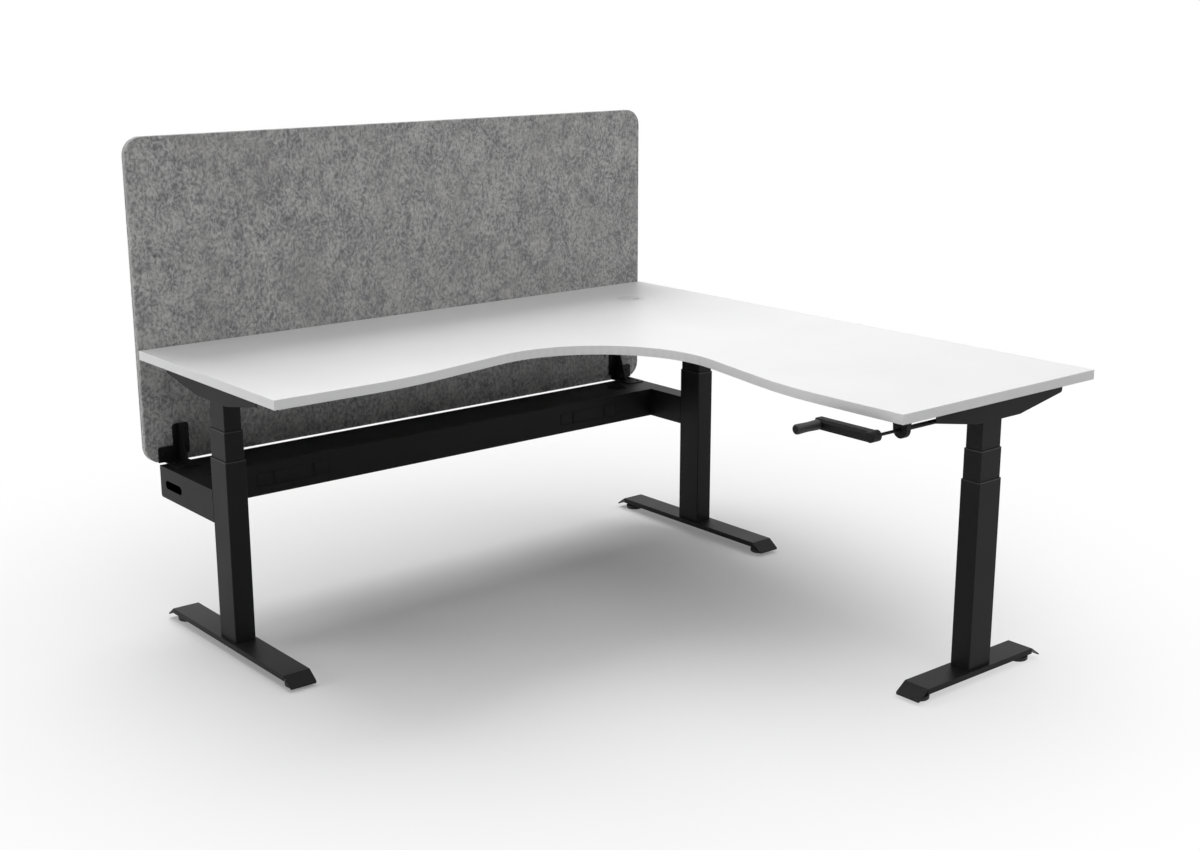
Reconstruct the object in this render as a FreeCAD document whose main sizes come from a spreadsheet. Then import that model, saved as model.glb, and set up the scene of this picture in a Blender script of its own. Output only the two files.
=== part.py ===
import FreeCAD, Part
import math
import os

import Sketcher
from FreeCAD import Placement, Rotation, Vector

# A corner workstation with a crank-driven lift: three telescopic legs carry an L-shaped work
# surface, and a cable tray between the two rear legs carries a felt screen.
# The row frame has +X along the screen, +Y towards the screen and +Z up. Its origin is on the
# floor, in the middle of the whole footprint. All lengths are in millimetres.

SIZES = {
    # work surface
    "desk_height": 770,
    "board_thickness": 25,
    "left_wing_length": 1800,
    "right_wing_length": 1800,
    "wing_depth": 750,
    "waist_cut": 81,
    "corner_radius": 335,
    "front_straight": 259,
    "edge_blend_share": 0.774,
    "screen_gap": 2,
    # cable port in the rear corner of the board
    "port_inset": 237,
    "port_hole_radius": 40,
    "port_bore_radius": 37.5,
    "port_flange_radius": 45,
    "port_flange_thickness": 1.5,
    "port_ledge_width": 2.5,
    "port_ledge_depth": 5,
    "port_slot_length": 30,
    "port_slot_width": 10,
    "port_slot_across": 8,
    "port_slot_forward": 15,
    "port_clearance": 0.3,
    # where the legs stand
    "left_leg_inset": 59,
    "corner_leg_inset": 75,
    "right_leg_inset": 54,
    # feet
    "long_foot": 624,
    "short_foot": 421,
    "foot_width": 76,
    "foot_height": 37.5,
    "foot_sheet": 3,
    "foot_flange": 15,
    "foot_boss_radius": 8,
    "foot_boss_depth": 14,
    "toe_length": 35,
    "toe_drop": 25,
    "toe_corner": 4,
    # levelling glides
    "glide_inset": 9.5,
    "glide_radius": 27,
    "glide_height": 12,
    "glide_chamfer": 2,
    "glide_nut_radius": 9,
    "glide_nut_height": 6,
    "glide_stem_radius": 5,
    "running_clearance": 0.05,
    # telescopic columns
    "outer_length": 87,
    "outer_width": 59,
    "stage_step": 2.5,
    "column_wall": 1.5,
    "column_corner": 3,
    "outer_top": 536.5,
    "middle_top": 616.5,
    "middle_column_length": 480,
    "inner_column_length": 481,
    "collar_height": 3,
    "collar_skirt": 40,
    "sliding_clearance": 0.3,
    # spindles inside the columns
    "base_tube_radius": 16,
    "base_tube_top": 470,
    "base_flange_radius": 20,
    "base_flange_thickness": 4,
    "screw_tube_radius": 13,
    "screw_tube_low": 120,
    "screw_tube_top": 600,
    "lift_screw_radius": 8,
    "lift_screw_low": 235,
    "screw_seat": 18,
    "nut_length": 30,
    "bore_relief": 0.6,
    # arms under the board: their ends from the board's edges, the rest from the column
    "arm_width": 55,
    "arm_height": 55,
    "arm_wall": 2.5,
    "arm_short_gap": 154,
    "arm_long_gap": 96,
    "arm_flat_short": 61,
    "arm_flat_long": 106,
    "arm_short_tip": 27,
    "arm_long_tip": 23.5,
    "arm_corner": 8,
    "arm_mitre": 70,
    "shaft_hole_radius": 8,
    "board_screw_short": 71,
    "board_screw_long": 64,
    "board_screw_across": 14,
    # gearboxes and shafts under the board
    "gearbox_length": 74,
    "gearbox_width": 46.5,
    "column_entry": 6,
    "gearbox_chamfer": 3,
    "drive_height": 31,
    "shaft_radius": 5,
    "rod_radius": 6,
    "shaft_seat": 15,
    "junction_size": 44,
    "junction_drop": 16,
    # rails between the arms
    "rail_width": 50,
    "rail_height": 24,
    "rail_wall": 2,
    # crank
    "crank_edge_gap": 30,
    "crank_bar_thickness": 25,
    "crank_bar_height": 27,
    "crank_throw": 158.5,
    "crank_hub_radius": 14,
    "crank_hub_depth": 5,
    "crank_hub_bevel": 3,
    "crank_bevel": 4,
    "crank_bevel_drop": 7.4,
    "crank_stub_radius": 4,
    "crank_socket": 20,
    "grip_radius": 12.7,
    "grip_length": 78,
    "grip_round": 4,
    "grip_gap": 0.5,
    "grip_pin_radius": 5,
    "grip_head_radius": 8,
    "grip_head_depth": 4,
    "bearing_inset": 54,
    "bearing_flange_length": 46,
    "bearing_flange_width": 60,
    "bearing_flange_thickness": 4,
    "bearing_lug_thickness": 15,
    "bearing_lug_width": 46,
    "bearing_boss_radius": 21,
    "bearing_rib_length": 16,
    "bearing_rib_width": 10,
    "bearing_rib_low": 8,
    # cable tray between the rear legs
    "tray_gap": 20,
    "tray_depth": 170,
    "tray_height": 90,
    "tray_top": 445,
    "tray_sheet": 2,
    "tray_lip": 12,
    "tray_bend": 8,
    "end_slot_length": 98,
    "end_slot_height": 24,
    "end_slot_back": 80,
    "end_slot_low": 42,
    "entry_length": 50,
    "entry_width": 60,
    "entry_inset": 183,
    "entry_back": 86,
    # knock-outs in the tray's front wall
    "knockout_height": 40,
    "knockout_small": 50,
    "knockout_large": 125,
    "knockout_rib": 3,
    "knockout_left": 352,
    "knockout_right": 373,
    "knockout_back_sheet": 1.2,
    # screen and its brackets
    "screen_bottom": 443.5,
    "screen_height": 900,
    "screen_corner": 50,
    "front_felt": 9.5,
    "screen_core": 3,
    "back_felt": 11.5,
    "bracket_sheet": 3,
    "bracket_height": 105,
    "ear_height": 44,
    "ear_inset": 36,
    "face_inset": 82,
    "face_far": 130,
    "face_low": 16,
    "web_inset": 97,
    "web_foot": 58,
    "web_head": 17,
    "base_inset": 52,
    "base_far": 118,
    "base_reach": 95,
    "bracket_corner": 8,
    # screws
    "screw_radius": 2.5,
    "screw_head_radius": 5,
    "screw_head_height": 2.5,
    "screw_length": 14,
    "board_screw_length": 18,
    "screw_hole_clearance": 0.3,
    "face_screw_inset": 121,
    "face_screw_low": 31,
    "face_screw_high": 90,
    "ear_screw_inset": 52,
    "ear_screw_height": 24,
    "base_screw_inset": 68,
    "base_screw_front": 78,
    "base_screw_back": 36,
    # overrun of cuts past the material
    "overrun": 5,
}

doc = FreeCAD.newDocument("corner_workstation")
sheet = doc.addObject("Spreadsheet::Sheet", "Dims")
pieces = []

START, END, CENTRE = range(1, 4)
SAME_PLACE = 1e-3


def fill_sheet():
    """Write every driving dimension into the spreadsheet as a plain number with an alias."""
    for row, (alias, number) in enumerate(SIZES.items(), start=1):
        sheet.set("A%d" % row, alias)
        sheet.set("B%d" % row, str(number))
        sheet.setAlias("B%d" % row, alias)
    doc.recompute()


def value(formula):
    """The number that a formula of spreadsheet names gives."""
    found = sheet.evalExpression(formula)
    return float(getattr(found, "Value", found))


def new_body(label):
    """An empty body for one sub-part, listed for the export."""
    body = doc.addObject("PartDesign::Body", label)
    body.Label = label
    pieces.append(body)
    return body


def place(body, across, along, up, axis=Vector(0, 0, 1), turn=0):
    """Put a body's own frame at a point given by three formulas."""
    at = Vector(value(across), value(along), value(up))
    body.Placement = Placement(at, Rotation(axis, turn))
    body.setExpression("Placement.Base.x", across)
    body.setExpression("Placement.Base.y", along)
    body.setExpression("Placement.Base.z", up)


def sketch_on(body, plane, offset):
    """A sketch parallel to one of the body's own planes, offset along that plane's normal."""
    sketch = body.newObject("Sketcher::SketchObject", body.Name + "_outline")
    support = [item for item in body.Origin.OriginFeatures if item.Role == plane][0]
    sketch.AttachmentSupport = (support, [""])
    sketch.MapMode = "FlatFace"
    sketch.AttachmentOffset = Placement(Vector(0, 0, value(offset)), Rotation())
    sketch.setExpression("AttachmentOffset.Base.z", offset)
    return sketch


def fix(sketch, kind, geometry, point, formula):
    """Hold one coordinate or radius of a sketch to a formula."""
    if point is None:
        rule = Sketcher.Constraint(kind, geometry, value(formula))
    else:
        rule = Sketcher.Constraint(kind, geometry, point, value(formula))
    number = sketch.addConstraint(rule)
    sketch.setExpression("Constraints[%d]" % number, formula)


def join(sketch, kind, first, first_end, second, second_end):
    """Join two sketch edges end to end, in one point or tangentially."""
    sketch.addConstraint(Sketcher.Constraint(kind, first, first_end, second, second_end))


def polygon(sketch, corners):
    """A closed outline of straight sides through corners given as pairs of formulas."""
    points = [Vector(value(across), value(up), 0) for across, up in corners]
    first = sketch.GeometryCount
    for start, end in zip(points, points[1:] + points[:1]):
        sketch.addGeometry(Part.LineSegment(start, end))
    for number, (across, up) in enumerate(corners):
        following = (number + 1) % len(corners)
        join(sketch, "Coincident", first + number, END, first + following, START)
        fix(sketch, "DistanceX", first + number, START, across)
        fix(sketch, "DistanceY", first + number, START, up)


def circle(sketch, across, up, radius):
    """A full circle."""
    centre = Vector(value(across), value(up), 0)
    number = sketch.addGeometry(Part.Circle(centre, Vector(0, 0, 1), value(radius)))
    fix(sketch, "Radius", number, None, radius)
    fix(sketch, "DistanceX", number, CENTRE, across)
    fix(sketch, "DistanceY", number, CENTRE, up)


def arc_between(centre, start, end):
    """The arc about a centre that runs anticlockwise from one point to another."""
    normal = Vector(0, 0, 1)
    whole = Part.Circle(centre, normal, (start - centre).Length)
    return Part.ArcOfCircle(whole, whole.parameter(start), whole.parameter(end))


def rounded_box(sketch, left, right, low, high, radius):
    """A rectangle with four equal round corners."""
    west, east, south, north = value(left), value(right), value(low), value(high)
    bend = value(radius)
    inner_west, inner_east = west + bend, east - bend
    inner_south, inner_north = south + bend, north - bend
    sides = [
        (Vector(inner_west, south, 0), Vector(inner_east, south, 0)),
        (Vector(east, inner_south, 0), Vector(east, inner_north, 0)),
        (Vector(inner_east, north, 0), Vector(inner_west, north, 0)),
        (Vector(west, inner_north, 0), Vector(west, inner_south, 0)),
    ]
    centres = [
        Vector(inner_east, inner_south, 0),
        Vector(inner_east, inner_north, 0),
        Vector(inner_west, inner_north, 0),
        Vector(inner_west, inner_south, 0),
    ]
    first = sketch.GeometryCount
    for start, end in sides:
        sketch.addGeometry(Part.LineSegment(start, end))
    for number, centre in enumerate(centres):
        following = (number + 1) % 4
        sketch.addGeometry(arc_between(centre, sides[number][1], sides[following][0]))
    for number in range(4):
        bow = first + 4 + number
        join(sketch, "Tangent", first + number, END, bow, START)
        join(sketch, "Tangent", bow, END, first + (number + 1) % 4, START)
        level = "Horizontal" if number % 2 == 0 else "Vertical"
        sketch.addConstraint(Sketcher.Constraint(level, first + number))
    for number in range(1, 4):
        sketch.addConstraint(Sketcher.Constraint("Equal", first + 4, first + 4 + number))
    fix(sketch, "Radius", first + 4, None, radius)
    fix(sketch, "DistanceY", first, START, low)
    fix(sketch, "DistanceX", first + 1, START, right)
    fix(sketch, "DistanceY", first + 2, START, high)
    fix(sketch, "DistanceX", first + 3, START, left)


def slot(sketch, across, up, length, width):
    """An obround whose long side lies along the sketch's first axis."""
    radius = "(%s) / 2" % width
    reach = "((%s) - (%s)) / 2" % (length, width)
    centre = Vector(value(across), value(up), 0)
    half, bend = Vector(value(reach), 0, 0), Vector(0, value(radius), 0)
    first = sketch.GeometryCount
    sketch.addGeometry(Part.LineSegment(centre - half - bend, centre + half - bend))
    sketch.addGeometry(arc_between(centre + half, centre + half - bend, centre + half + bend))
    sketch.addGeometry(Part.LineSegment(centre + half + bend, centre - half + bend))
    sketch.addGeometry(arc_between(centre - half, centre - half + bend, centre - half - bend))
    for number in range(4):
        join(sketch, "Tangent", first + number, END, first + (number + 1) % 4, START)
    sketch.addConstraint(Sketcher.Constraint("Horizontal", first))
    sketch.addConstraint(Sketcher.Constraint("Equal", first + 1, first + 3))
    fix(sketch, "Radius", first + 1, None, radius)
    fix(sketch, "DistanceX", first + 1, CENTRE, "(%s) + %s" % (across, reach))
    fix(sketch, "DistanceX", first + 3, CENTRE, "(%s) - %s" % (across, reach))
    fix(sketch, "DistanceY", first + 1, CENTRE, up)


def pad(body, sketch, length):
    """Add material from a sketch along its plane's normal."""
    feature = body.newObject("PartDesign::Pad", body.Name + "_pad")
    feature.Profile = sketch
    feature.setExpression("Length", length)
    sketch.Visibility = False
    return feature


def pocket(body, sketch, length):
    """Take material away against the normal of a sketch, and check that some went."""
    doc.recompute()
    before = body.Shape.Volume
    feature = body.newObject("PartDesign::Pocket", body.Name + "_pocket")
    feature.Profile = sketch
    feature.setExpression("Length", length)
    doc.recompute()
    if not body.Shape.Volume < before:
        raise RuntimeError("a pocket of " + body.Label + " cuts nothing")
    return feature


def turned(body, outline):
    """Revolve an outline of (radius, height) pairs round the body's own Z axis."""
    sketch = sketch_on(body, "XZ_Plane", "0")
    polygon(sketch, outline)
    feature = body.newObject("PartDesign::Revolution", body.Name + "_turned")
    feature.Profile = sketch
    feature.ReferenceAxis = (sketch, ["V_Axis"])
    feature.Angle = 360
    return feature


def edge_names(shape, wanted):
    """Names of the edges that a test picks."""
    return ["Edge%d" % n for n, edge in enumerate(shape.Edges, start=1) if wanted(edge)]


def fillet(body, wanted, radius):
    """Round the edges that a test picks on the body as it is now."""
    doc.recompute()
    base = body.Tip
    feature = body.newObject("PartDesign::Fillet", body.Name + "_fillet")
    feature.Base = (base, edge_names(base.Shape, wanted))
    feature.setExpression("Radius", radius)
    return feature


def chamfer(body, wanted, size):
    """Bevel the edges that a test picks on the body as it is now."""
    doc.recompute()
    base = body.Tip
    feature = body.newObject("PartDesign::Chamfer", body.Name + "_chamfer")
    feature.Base = (base, edge_names(base.Shape, wanted))
    feature.setExpression("Size", size)
    return feature


def straight_along(edge, axis):
    """Whether an edge is a straight line parallel to an axis."""
    if not isinstance(edge.Curve, Part.Line):
        return False
    return abs(abs(edge.Curve.Direction.dot(axis)) - 1) < 1e-6


def lies_at(edge, along, up):
    """Whether an edge runs along X at a given Y and Z."""
    middle = edge.CenterOfMass
    near = abs(middle.y - along) < SAME_PLACE and abs(middle.z - up) < SAME_PLACE
    return near and straight_along(edge, Vector(1, 0, 0))


# Places that several pieces share, as formulas.
SCREEN_DEPTH = "(Dims.front_felt + Dims.screen_core + Dims.back_felt)"
SCREEN_FACE = "((Dims.right_wing_length + Dims.screen_gap - %s) / 2)" % SCREEN_DEPTH
BOARD_BACK = "(%s - Dims.screen_gap)" % SCREEN_FACE
RIGHT_EDGE = "(Dims.left_wing_length / 2)"
UNDERSIDE = "(Dims.desk_height - Dims.board_thickness)"
ARM_BOTTOM = "(%s - Dims.arm_height)" % UNDERSIDE
DRIVE_AXIS = "(%s - Dims.drive_height)" % UNDERSIDE
WING_AXIS = "(%s - Dims.wing_depth / 2)" % BOARD_BACK
LEFT_LEG_X = "(Dims.left_leg_inset - %s)" % RIGHT_EDGE
CORNER_LEG_X = "(%s - Dims.corner_leg_inset)" % RIGHT_EDGE
RIGHT_LEG_X = "(%s - Dims.wing_depth / 2)" % RIGHT_EDGE
RIGHT_LEG_Y = "(%s - Dims.right_wing_length + Dims.right_leg_inset)" % BOARD_BACK
TRAY_LEFT = "(%s - Dims.outer_width / 2)" % LEFT_LEG_X
TRAY_RIGHT = "(%s + Dims.outer_width / 2)" % CORNER_LEG_X
TRAY_BACK = "(%s - Dims.tray_gap)" % SCREEN_FACE
TRAY_FRONT = "(%s - Dims.tray_depth)" % TRAY_BACK
TRAY_BOTTOM = "(Dims.tray_top - Dims.tray_height)"
COLUMN_BACK = "(%s + Dims.outer_length / 2)" % WING_AXIS
PORT_X = "(%s - Dims.port_inset)" % RIGHT_EDGE
PORT_Y = "(%s - Dims.port_inset)" % BOARD_BACK
CRANK_EDGE = "(%s - Dims.wing_depth)" % RIGHT_EDGE

# Each leg's own frame has its origin on the floor under the column and its Y axis along the
# foot. The right leg is turned, so that its foot lies along the row's X axis.
LEGS = {
    "left": (LEFT_LEG_X, WING_AXIS, 0, "Dims.long_foot"),
    "corner": (CORNER_LEG_X, WING_AXIS, 0, "Dims.long_foot"),
    "right": (RIGHT_LEG_X, RIGHT_LEG_Y, -90, "Dims.short_foot"),
}


def place_on_leg(body, leg):
    """Put a body made in a leg's own frame where that leg stands."""
    across, along, turn, _ = LEGS[leg]
    place(body, across, along, "0", turn=turn)


def leg_foot(leg):
    """A folded channel with shallow flanges, a toe bent down at each end and two blind nuts."""
    body = new_body(leg + "_foot")
    half_length = LEGS[leg][3] + " / 2"
    half_width = "Dims.foot_width / 2"
    inner = "(Dims.foot_width / 2 - Dims.foot_sheet)"
    skin = "(Dims.foot_height - Dims.foot_sheet)"
    flange = "(Dims.foot_height - Dims.foot_flange)"
    section = sketch_on(body, "XZ_Plane", "-" + half_length)
    polygon(section, [
        ("-" + half_width, flange),
        ("-" + inner, flange),
        ("-" + inner, skin),
        (inner, skin),
        (inner, flange),
        (half_width, flange),
        (half_width, "Dims.foot_height"),
        ("-" + half_width, "Dims.foot_height"),
    ])
    pad(body, section, LEGS[leg][3])
    for side in ("-1", "1"):
        toe = sketch_on(body, "YZ_Plane", "-" + half_width)
        root = "%s * %s" % (side, half_length)
        tip = "%s * (%s + Dims.toe_length)" % (side, half_length)
        polygon(toe, [
            (root, skin),
            (tip, skin + " - Dims.toe_drop"),
            (tip, "Dims.foot_height - Dims.toe_drop"),
            (root, "Dims.foot_height"),
        ])
        pad(body, toe, "Dims.foot_width")
    reach = value("%s + Dims.toe_length" % half_length)

    def tip_corner(edge):
        at_tip = abs(abs(edge.CenterOfMass.y) - reach) < SAME_PLACE
        return at_tip and straight_along(edge, Vector(0, 0, 1))

    fillet(body, tip_corner, "Dims.toe_corner")
    bosses = sketch_on(body, "XY_Plane", skin + " - Dims.foot_boss_depth")
    bores = sketch_on(body, "XY_Plane", skin)
    for side in ("-", ""):
        along = "%s(%s - Dims.glide_inset)" % (side, half_length)
        circle(bosses, "0", along, "Dims.foot_boss_radius")
        circle(bores, "0", along, "Dims.glide_stem_radius + Dims.running_clearance")
    pad(body, bosses, "Dims.foot_boss_depth")
    pocket(body, bores, "Dims.foot_boss_depth")
    place_on_leg(body, leg)


def levelling_glide(leg, end, side):
    """A round floor pad with a nut collar and a stem that screws up into the foot."""
    body = new_body("%s_%s_glide" % (leg, end))
    top = "Dims.glide_height"
    stem_top = "(Dims.foot_height - Dims.foot_sheet - Dims.sliding_clearance)"
    nut_top = "(Dims.glide_height + Dims.glide_nut_height)"
    turned(body, [
        ("0", "0"),
        ("Dims.glide_radius - Dims.glide_chamfer", "0"),
        ("Dims.glide_radius", "Dims.glide_chamfer"),
        ("Dims.glide_radius", top + " - Dims.glide_chamfer"),
        ("Dims.glide_radius - Dims.glide_chamfer", top),
        ("Dims.glide_nut_radius", top),
        ("Dims.glide_nut_radius", nut_top),
        ("Dims.glide_stem_radius", nut_top),
        ("Dims.glide_stem_radius", stem_top),
        ("0", stem_top),
    ])
    across, along, turn, length = LEGS[leg]
    reach = "%s(%s / 2 - Dims.glide_inset)" % (side, length)
    if turn:
        place(body, "%s + %s" % (across, reach), along, "0")
    else:
        place(body, across, "%s + %s" % (along, reach), "0")


def tube_section(sketch, steps):
    """Both walls of a stage's tube, a number of stage steps inside the outer one."""
    for inset in ("0", "Dims.column_wall"):
        half_width = "(Dims.outer_width / 2 - %s * Dims.stage_step - %s)" % (steps, inset)
        half_length = "(Dims.outer_length / 2 - %s * Dims.stage_step - %s)" % (steps, inset)
        bend = "Dims.column_corner - %s" % inset
        rounded_box(sketch, "-" + half_width, half_width, "-" + half_length, half_length, bend)


def column_stage(label, leg, steps, low, length):
    """One steel tube of a telescopic column."""
    body = new_body(label)
    section = sketch_on(body, "XY_Plane", low)
    tube_section(section, steps)
    pad(body, section, length)
    place_on_leg(body, leg)


def collar_loops(sketch, across, along, turned_leg, steps, gap):
    """The outer and inner outline of a guide collar round the next stage's tube."""
    wide = "(Dims.outer_width / 2 - %s * Dims.stage_step" % steps
    long = "(Dims.outer_length / 2 - %s * Dims.stage_step" % steps
    inner_gap = " - Dims.stage_step + Dims.sliding_clearance)"
    loops = [
        (gap, "Dims.column_corner" + gap.rstrip(")")),
        (inner_gap, "Dims.column_corner"),
    ]
    for edge, bend in loops:
        half_x, half_y = wide + edge, long + edge
        if turned_leg:
            half_x, half_y = half_y, half_x
        rounded_box(
            sketch,
            "%s - %s" % (across, half_x),
            "%s + %s" % (across, half_x),
            "%s - %s" % (along, half_y),
            "%s + %s" % (along, half_y),
            bend,
        )


def guide_collar(body, spots, steps, top):
    """Plastic collars: a rim on a tube's top edge and a skirt down inside its wall."""
    rim = sketch_on(body, "XY_Plane", "%s - Dims.collar_height" % top)
    skirt_low = "%s - Dims.collar_height - Dims.collar_skirt" % top
    skirt = sketch_on(body, "XY_Plane", skirt_low)
    for across, along, turned_leg in spots:
        collar_loops(rim, across, along, turned_leg, steps, ")")
        collar_loops(skirt, across, along, turned_leg, steps, " - Dims.column_wall)")
    pad(body, rim, "Dims.collar_height")
    pad(body, skirt, "Dims.collar_skirt")


def outer_collars():
    """The collars on the three outer tubes."""
    body = new_body("outer_collars")
    spots = [(across, along, turn != 0) for across, along, turn, _ in LEGS.values()]
    guide_collar(body, spots, "0", "Dims.outer_top")


def middle_collar(leg):
    """The collar on one middle tube."""
    body = new_body(leg + "_middle_collar")
    guide_collar(body, [("0", "0", False)], "1", "Dims.middle_top")
    place_on_leg(body, leg)


def base_nut_tubes():
    """Flanged tubes that stand on the feet, each with a nut at its top."""
    body = new_body("base_nut_tubes")
    flange = sketch_on(body, "XY_Plane", "Dims.foot_height")
    barrel = sketch_on(body, "XY_Plane", "Dims.foot_height")
    relief = sketch_on(body, "XY_Plane", "Dims.base_tube_top - Dims.nut_length")
    bore = sketch_on(body, "XY_Plane", "Dims.base_tube_top")
    for across, along, _, _ in LEGS.values():
        circle(flange, across, along, "Dims.base_flange_radius")
        circle(barrel, across, along, "Dims.base_tube_radius")
        circle(relief, across, along, "Dims.screw_tube_radius + Dims.bore_relief")
        circle(bore, across, along, "Dims.screw_tube_radius + Dims.running_clearance")
    pad(body, flange, "Dims.base_flange_thickness")
    pad(body, barrel, "Dims.base_tube_top - Dims.foot_height")
    pocket(body, relief, "Dims.base_tube_top - Dims.nut_length - Dims.foot_height")
    pocket(body, bore, "Dims.nut_length + Dims.overrun")


def screw_tube(leg):
    """The hollow screw between the base nut and the lift screw, with its own nut on top."""
    body = new_body(leg + "_screw_tube")
    nut_low = "Dims.screw_tube_top - Dims.nut_length"
    wide_bore = "Dims.lift_screw_radius + Dims.bore_relief"
    nut_bore = "Dims.lift_screw_radius + Dims.running_clearance"
    turned(body, [
        (wide_bore, "Dims.screw_tube_low"),
        ("Dims.screw_tube_radius", "Dims.screw_tube_low"),
        ("Dims.screw_tube_radius", "Dims.screw_tube_top"),
        (nut_bore, "Dims.screw_tube_top"),
        (nut_bore, nut_low),
        (wide_bore, nut_low),
    ])
    place_on_leg(body, leg)


GEARBOX_LOW = "(%s + Dims.column_entry)" % ARM_BOTTOM
GEARBOX_TOP = "(%s - Dims.arm_wall)" % UNDERSIDE


def lift_screw(leg):
    """The turning screw that hangs from the gearbox."""
    body = new_body(leg + "_lift_screw")
    section = sketch_on(body, "XY_Plane", "Dims.lift_screw_low")
    circle(section, "0", "0", "Dims.lift_screw_radius")
    pad(body, section, "%s + Dims.screw_seat - Dims.lift_screw_low" % GEARBOX_LOW)
    place_on_leg(body, leg)


ARM_SHORT = "(Dims.wing_depth / 2 - Dims.arm_short_gap)"
ARM_LONG = "(Dims.wing_depth / 2 - Dims.arm_long_gap)"


def leg_arm(leg):
    """A folded arm, open below, that tapers to both ends and is mitred at its short one.

    The mitre is on the side where the shaft comes in, and the hollow runs out through it.
    """
    body = new_body(leg + "_arm")
    half_width = "Dims.arm_width / 2"
    side = sketch_on(body, "YZ_Plane", "-" + half_width)
    polygon(side, [
        ("-" + ARM_SHORT, UNDERSIDE),
        ("-" + ARM_SHORT, UNDERSIDE + " - Dims.arm_short_tip"),
        ("-Dims.arm_flat_short", ARM_BOTTOM),
        ("Dims.arm_flat_long", ARM_BOTTOM),
        (ARM_LONG, UNDERSIDE + " - Dims.arm_long_tip"),
        (ARM_LONG, UNDERSIDE),
    ])
    pad(body, side, "Dims.arm_width")
    long_end = value(ARM_LONG)
    tip_height = value(UNDERSIDE + " - Dims.arm_long_tip")
    fillet(body, lambda edge: lies_at(edge, long_end, tip_height), "Dims.arm_corner")
    inner = "(Dims.arm_width / 2 - Dims.arm_wall)"
    shaft_side, plain_side = ("", "-") if leg == "left" else ("-", "")
    mitre = sketch_on(body, "XY_Plane", UNDERSIDE)
    polygon(mitre, [
        (plain_side + inner, "-" + ARM_SHORT),
        (shaft_side + half_width, "-" + ARM_SHORT),
        (shaft_side + half_width, "Dims.arm_mitre - " + ARM_SHORT),
    ])
    pocket(body, mitre, "Dims.arm_height")
    hollow = sketch_on(body, "XY_Plane", UNDERSIDE + " - Dims.arm_wall")
    polygon(hollow, [
        ("-" + inner, "-" + ARM_SHORT),
        (inner, "-" + ARM_SHORT),
        (inner, ARM_LONG + " - Dims.arm_wall"),
        ("-" + inner, ARM_LONG + " - Dims.arm_wall"),
    ])
    pocket(body, hollow, "Dims.arm_height")
    shaft_wall = half_width if leg == "left" else "Dims.arm_wall - " + half_width
    shaft_bore = sketch_on(body, "YZ_Plane", shaft_wall)
    circle(shaft_bore, "0", DRIVE_AXIS, "Dims.shaft_hole_radius")
    pocket(body, shaft_bore, "Dims.arm_wall")
    screw_bores = sketch_on(body, "XY_Plane", UNDERSIDE)
    for across, along in arm_screw_spots():
        circle(screw_bores, across, along, "Dims.screw_radius + Dims.screw_hole_clearance")
    pocket(body, screw_bores, "Dims.arm_wall")
    place_on_leg(body, leg)


def arm_screw_spots():
    """Where the board screws pass through an arm, in the arm's own frame."""
    return [
        (across, along)
        for across in ("-Dims.board_screw_across", "Dims.board_screw_across")
        for along in ("Dims.board_screw_short - " + ARM_SHORT, ARM_LONG + " - Dims.board_screw_long")
    ]


def leg_gearbox(leg):
    """A cast housing on the inner column's rim, with a seat for each shaft that enters it."""
    body = new_body(leg + "_gearbox")
    half_width = "Dims.gearbox_width / 2"
    half_length = "Dims.gearbox_length / 2"
    block = sketch_on(body, "XY_Plane", GEARBOX_LOW)
    polygon(block, [
        ("-" + half_width, "-" + half_length),
        (half_width, "-" + half_length),
        (half_width, half_length),
        ("-" + half_width, half_length),
    ])
    pad(body, block, "%s - %s" % (GEARBOX_TOP, GEARBOX_LOW))
    chamfer(body, lambda edge: straight_along(edge, Vector(0, 0, 1)), "Dims.gearbox_chamfer")
    screw_seat = sketch_on(body, "XY_Plane", GEARBOX_LOW + " + Dims.screw_seat")
    circle(screw_seat, "0", "0", "Dims.lift_screw_radius + Dims.running_clearance")
    pocket(body, screw_seat, "Dims.screw_seat")
    if leg == "left":
        seat = sketch_on(body, "YZ_Plane", half_width)
    else:
        seat = sketch_on(body, "YZ_Plane", "-(%s - Dims.shaft_seat)" % half_width)
    circle(seat, "0", DRIVE_AXIS, "Dims.shaft_radius + Dims.running_clearance")
    pocket(body, seat, "Dims.shaft_seat")
    if leg == "right":
        rod_seat = sketch_on(body, "XZ_Plane", half_length)
        circle(rod_seat, "0", DRIVE_AXIS, "Dims.rod_radius + Dims.running_clearance")
        pocket(body, rod_seat, "Dims.shaft_seat")
    place_on_leg(body, leg)


def rail(label, length):
    """A folded channel, open below, whose own frame starts at one end of it."""
    body = new_body(label)
    half_width = "Dims.rail_width / 2"
    inner = "(Dims.rail_width / 2 - Dims.rail_wall)"
    section = sketch_on(body, "YZ_Plane", "0")
    polygon(section, [
        ("-" + half_width, "-Dims.rail_height"),
        ("-" + inner, "-Dims.rail_height"),
        ("-" + inner, "-Dims.rail_wall"),
        (inner, "-Dims.rail_wall"),
        (inner, "-Dims.rail_height"),
        (half_width, "-Dims.rail_height"),
        (half_width, "0"),
        ("-" + half_width, "0"),
    ])
    pad(body, section, length)
    return body


def rails():
    """The rail between the rear legs and the one from it to the right leg."""
    half_arm = "Dims.arm_width / 2"
    start = "%s + %s" % (LEFT_LEG_X, half_arm)
    long_rail = rail("long_rail", "%s - %s - (%s)" % (CORNER_LEG_X, half_arm, start))
    place(long_rail, start, WING_AXIS, UNDERSIDE)
    start = "%s + %s" % (RIGHT_LEG_Y, half_arm)
    cross_length = "%s - Dims.rail_width / 2 - (%s)" % (WING_AXIS, start)
    cross_rail = rail("cross_rail", cross_length)
    place(cross_rail, RIGHT_LEG_X, start, UNDERSIDE, turn=90)


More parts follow.
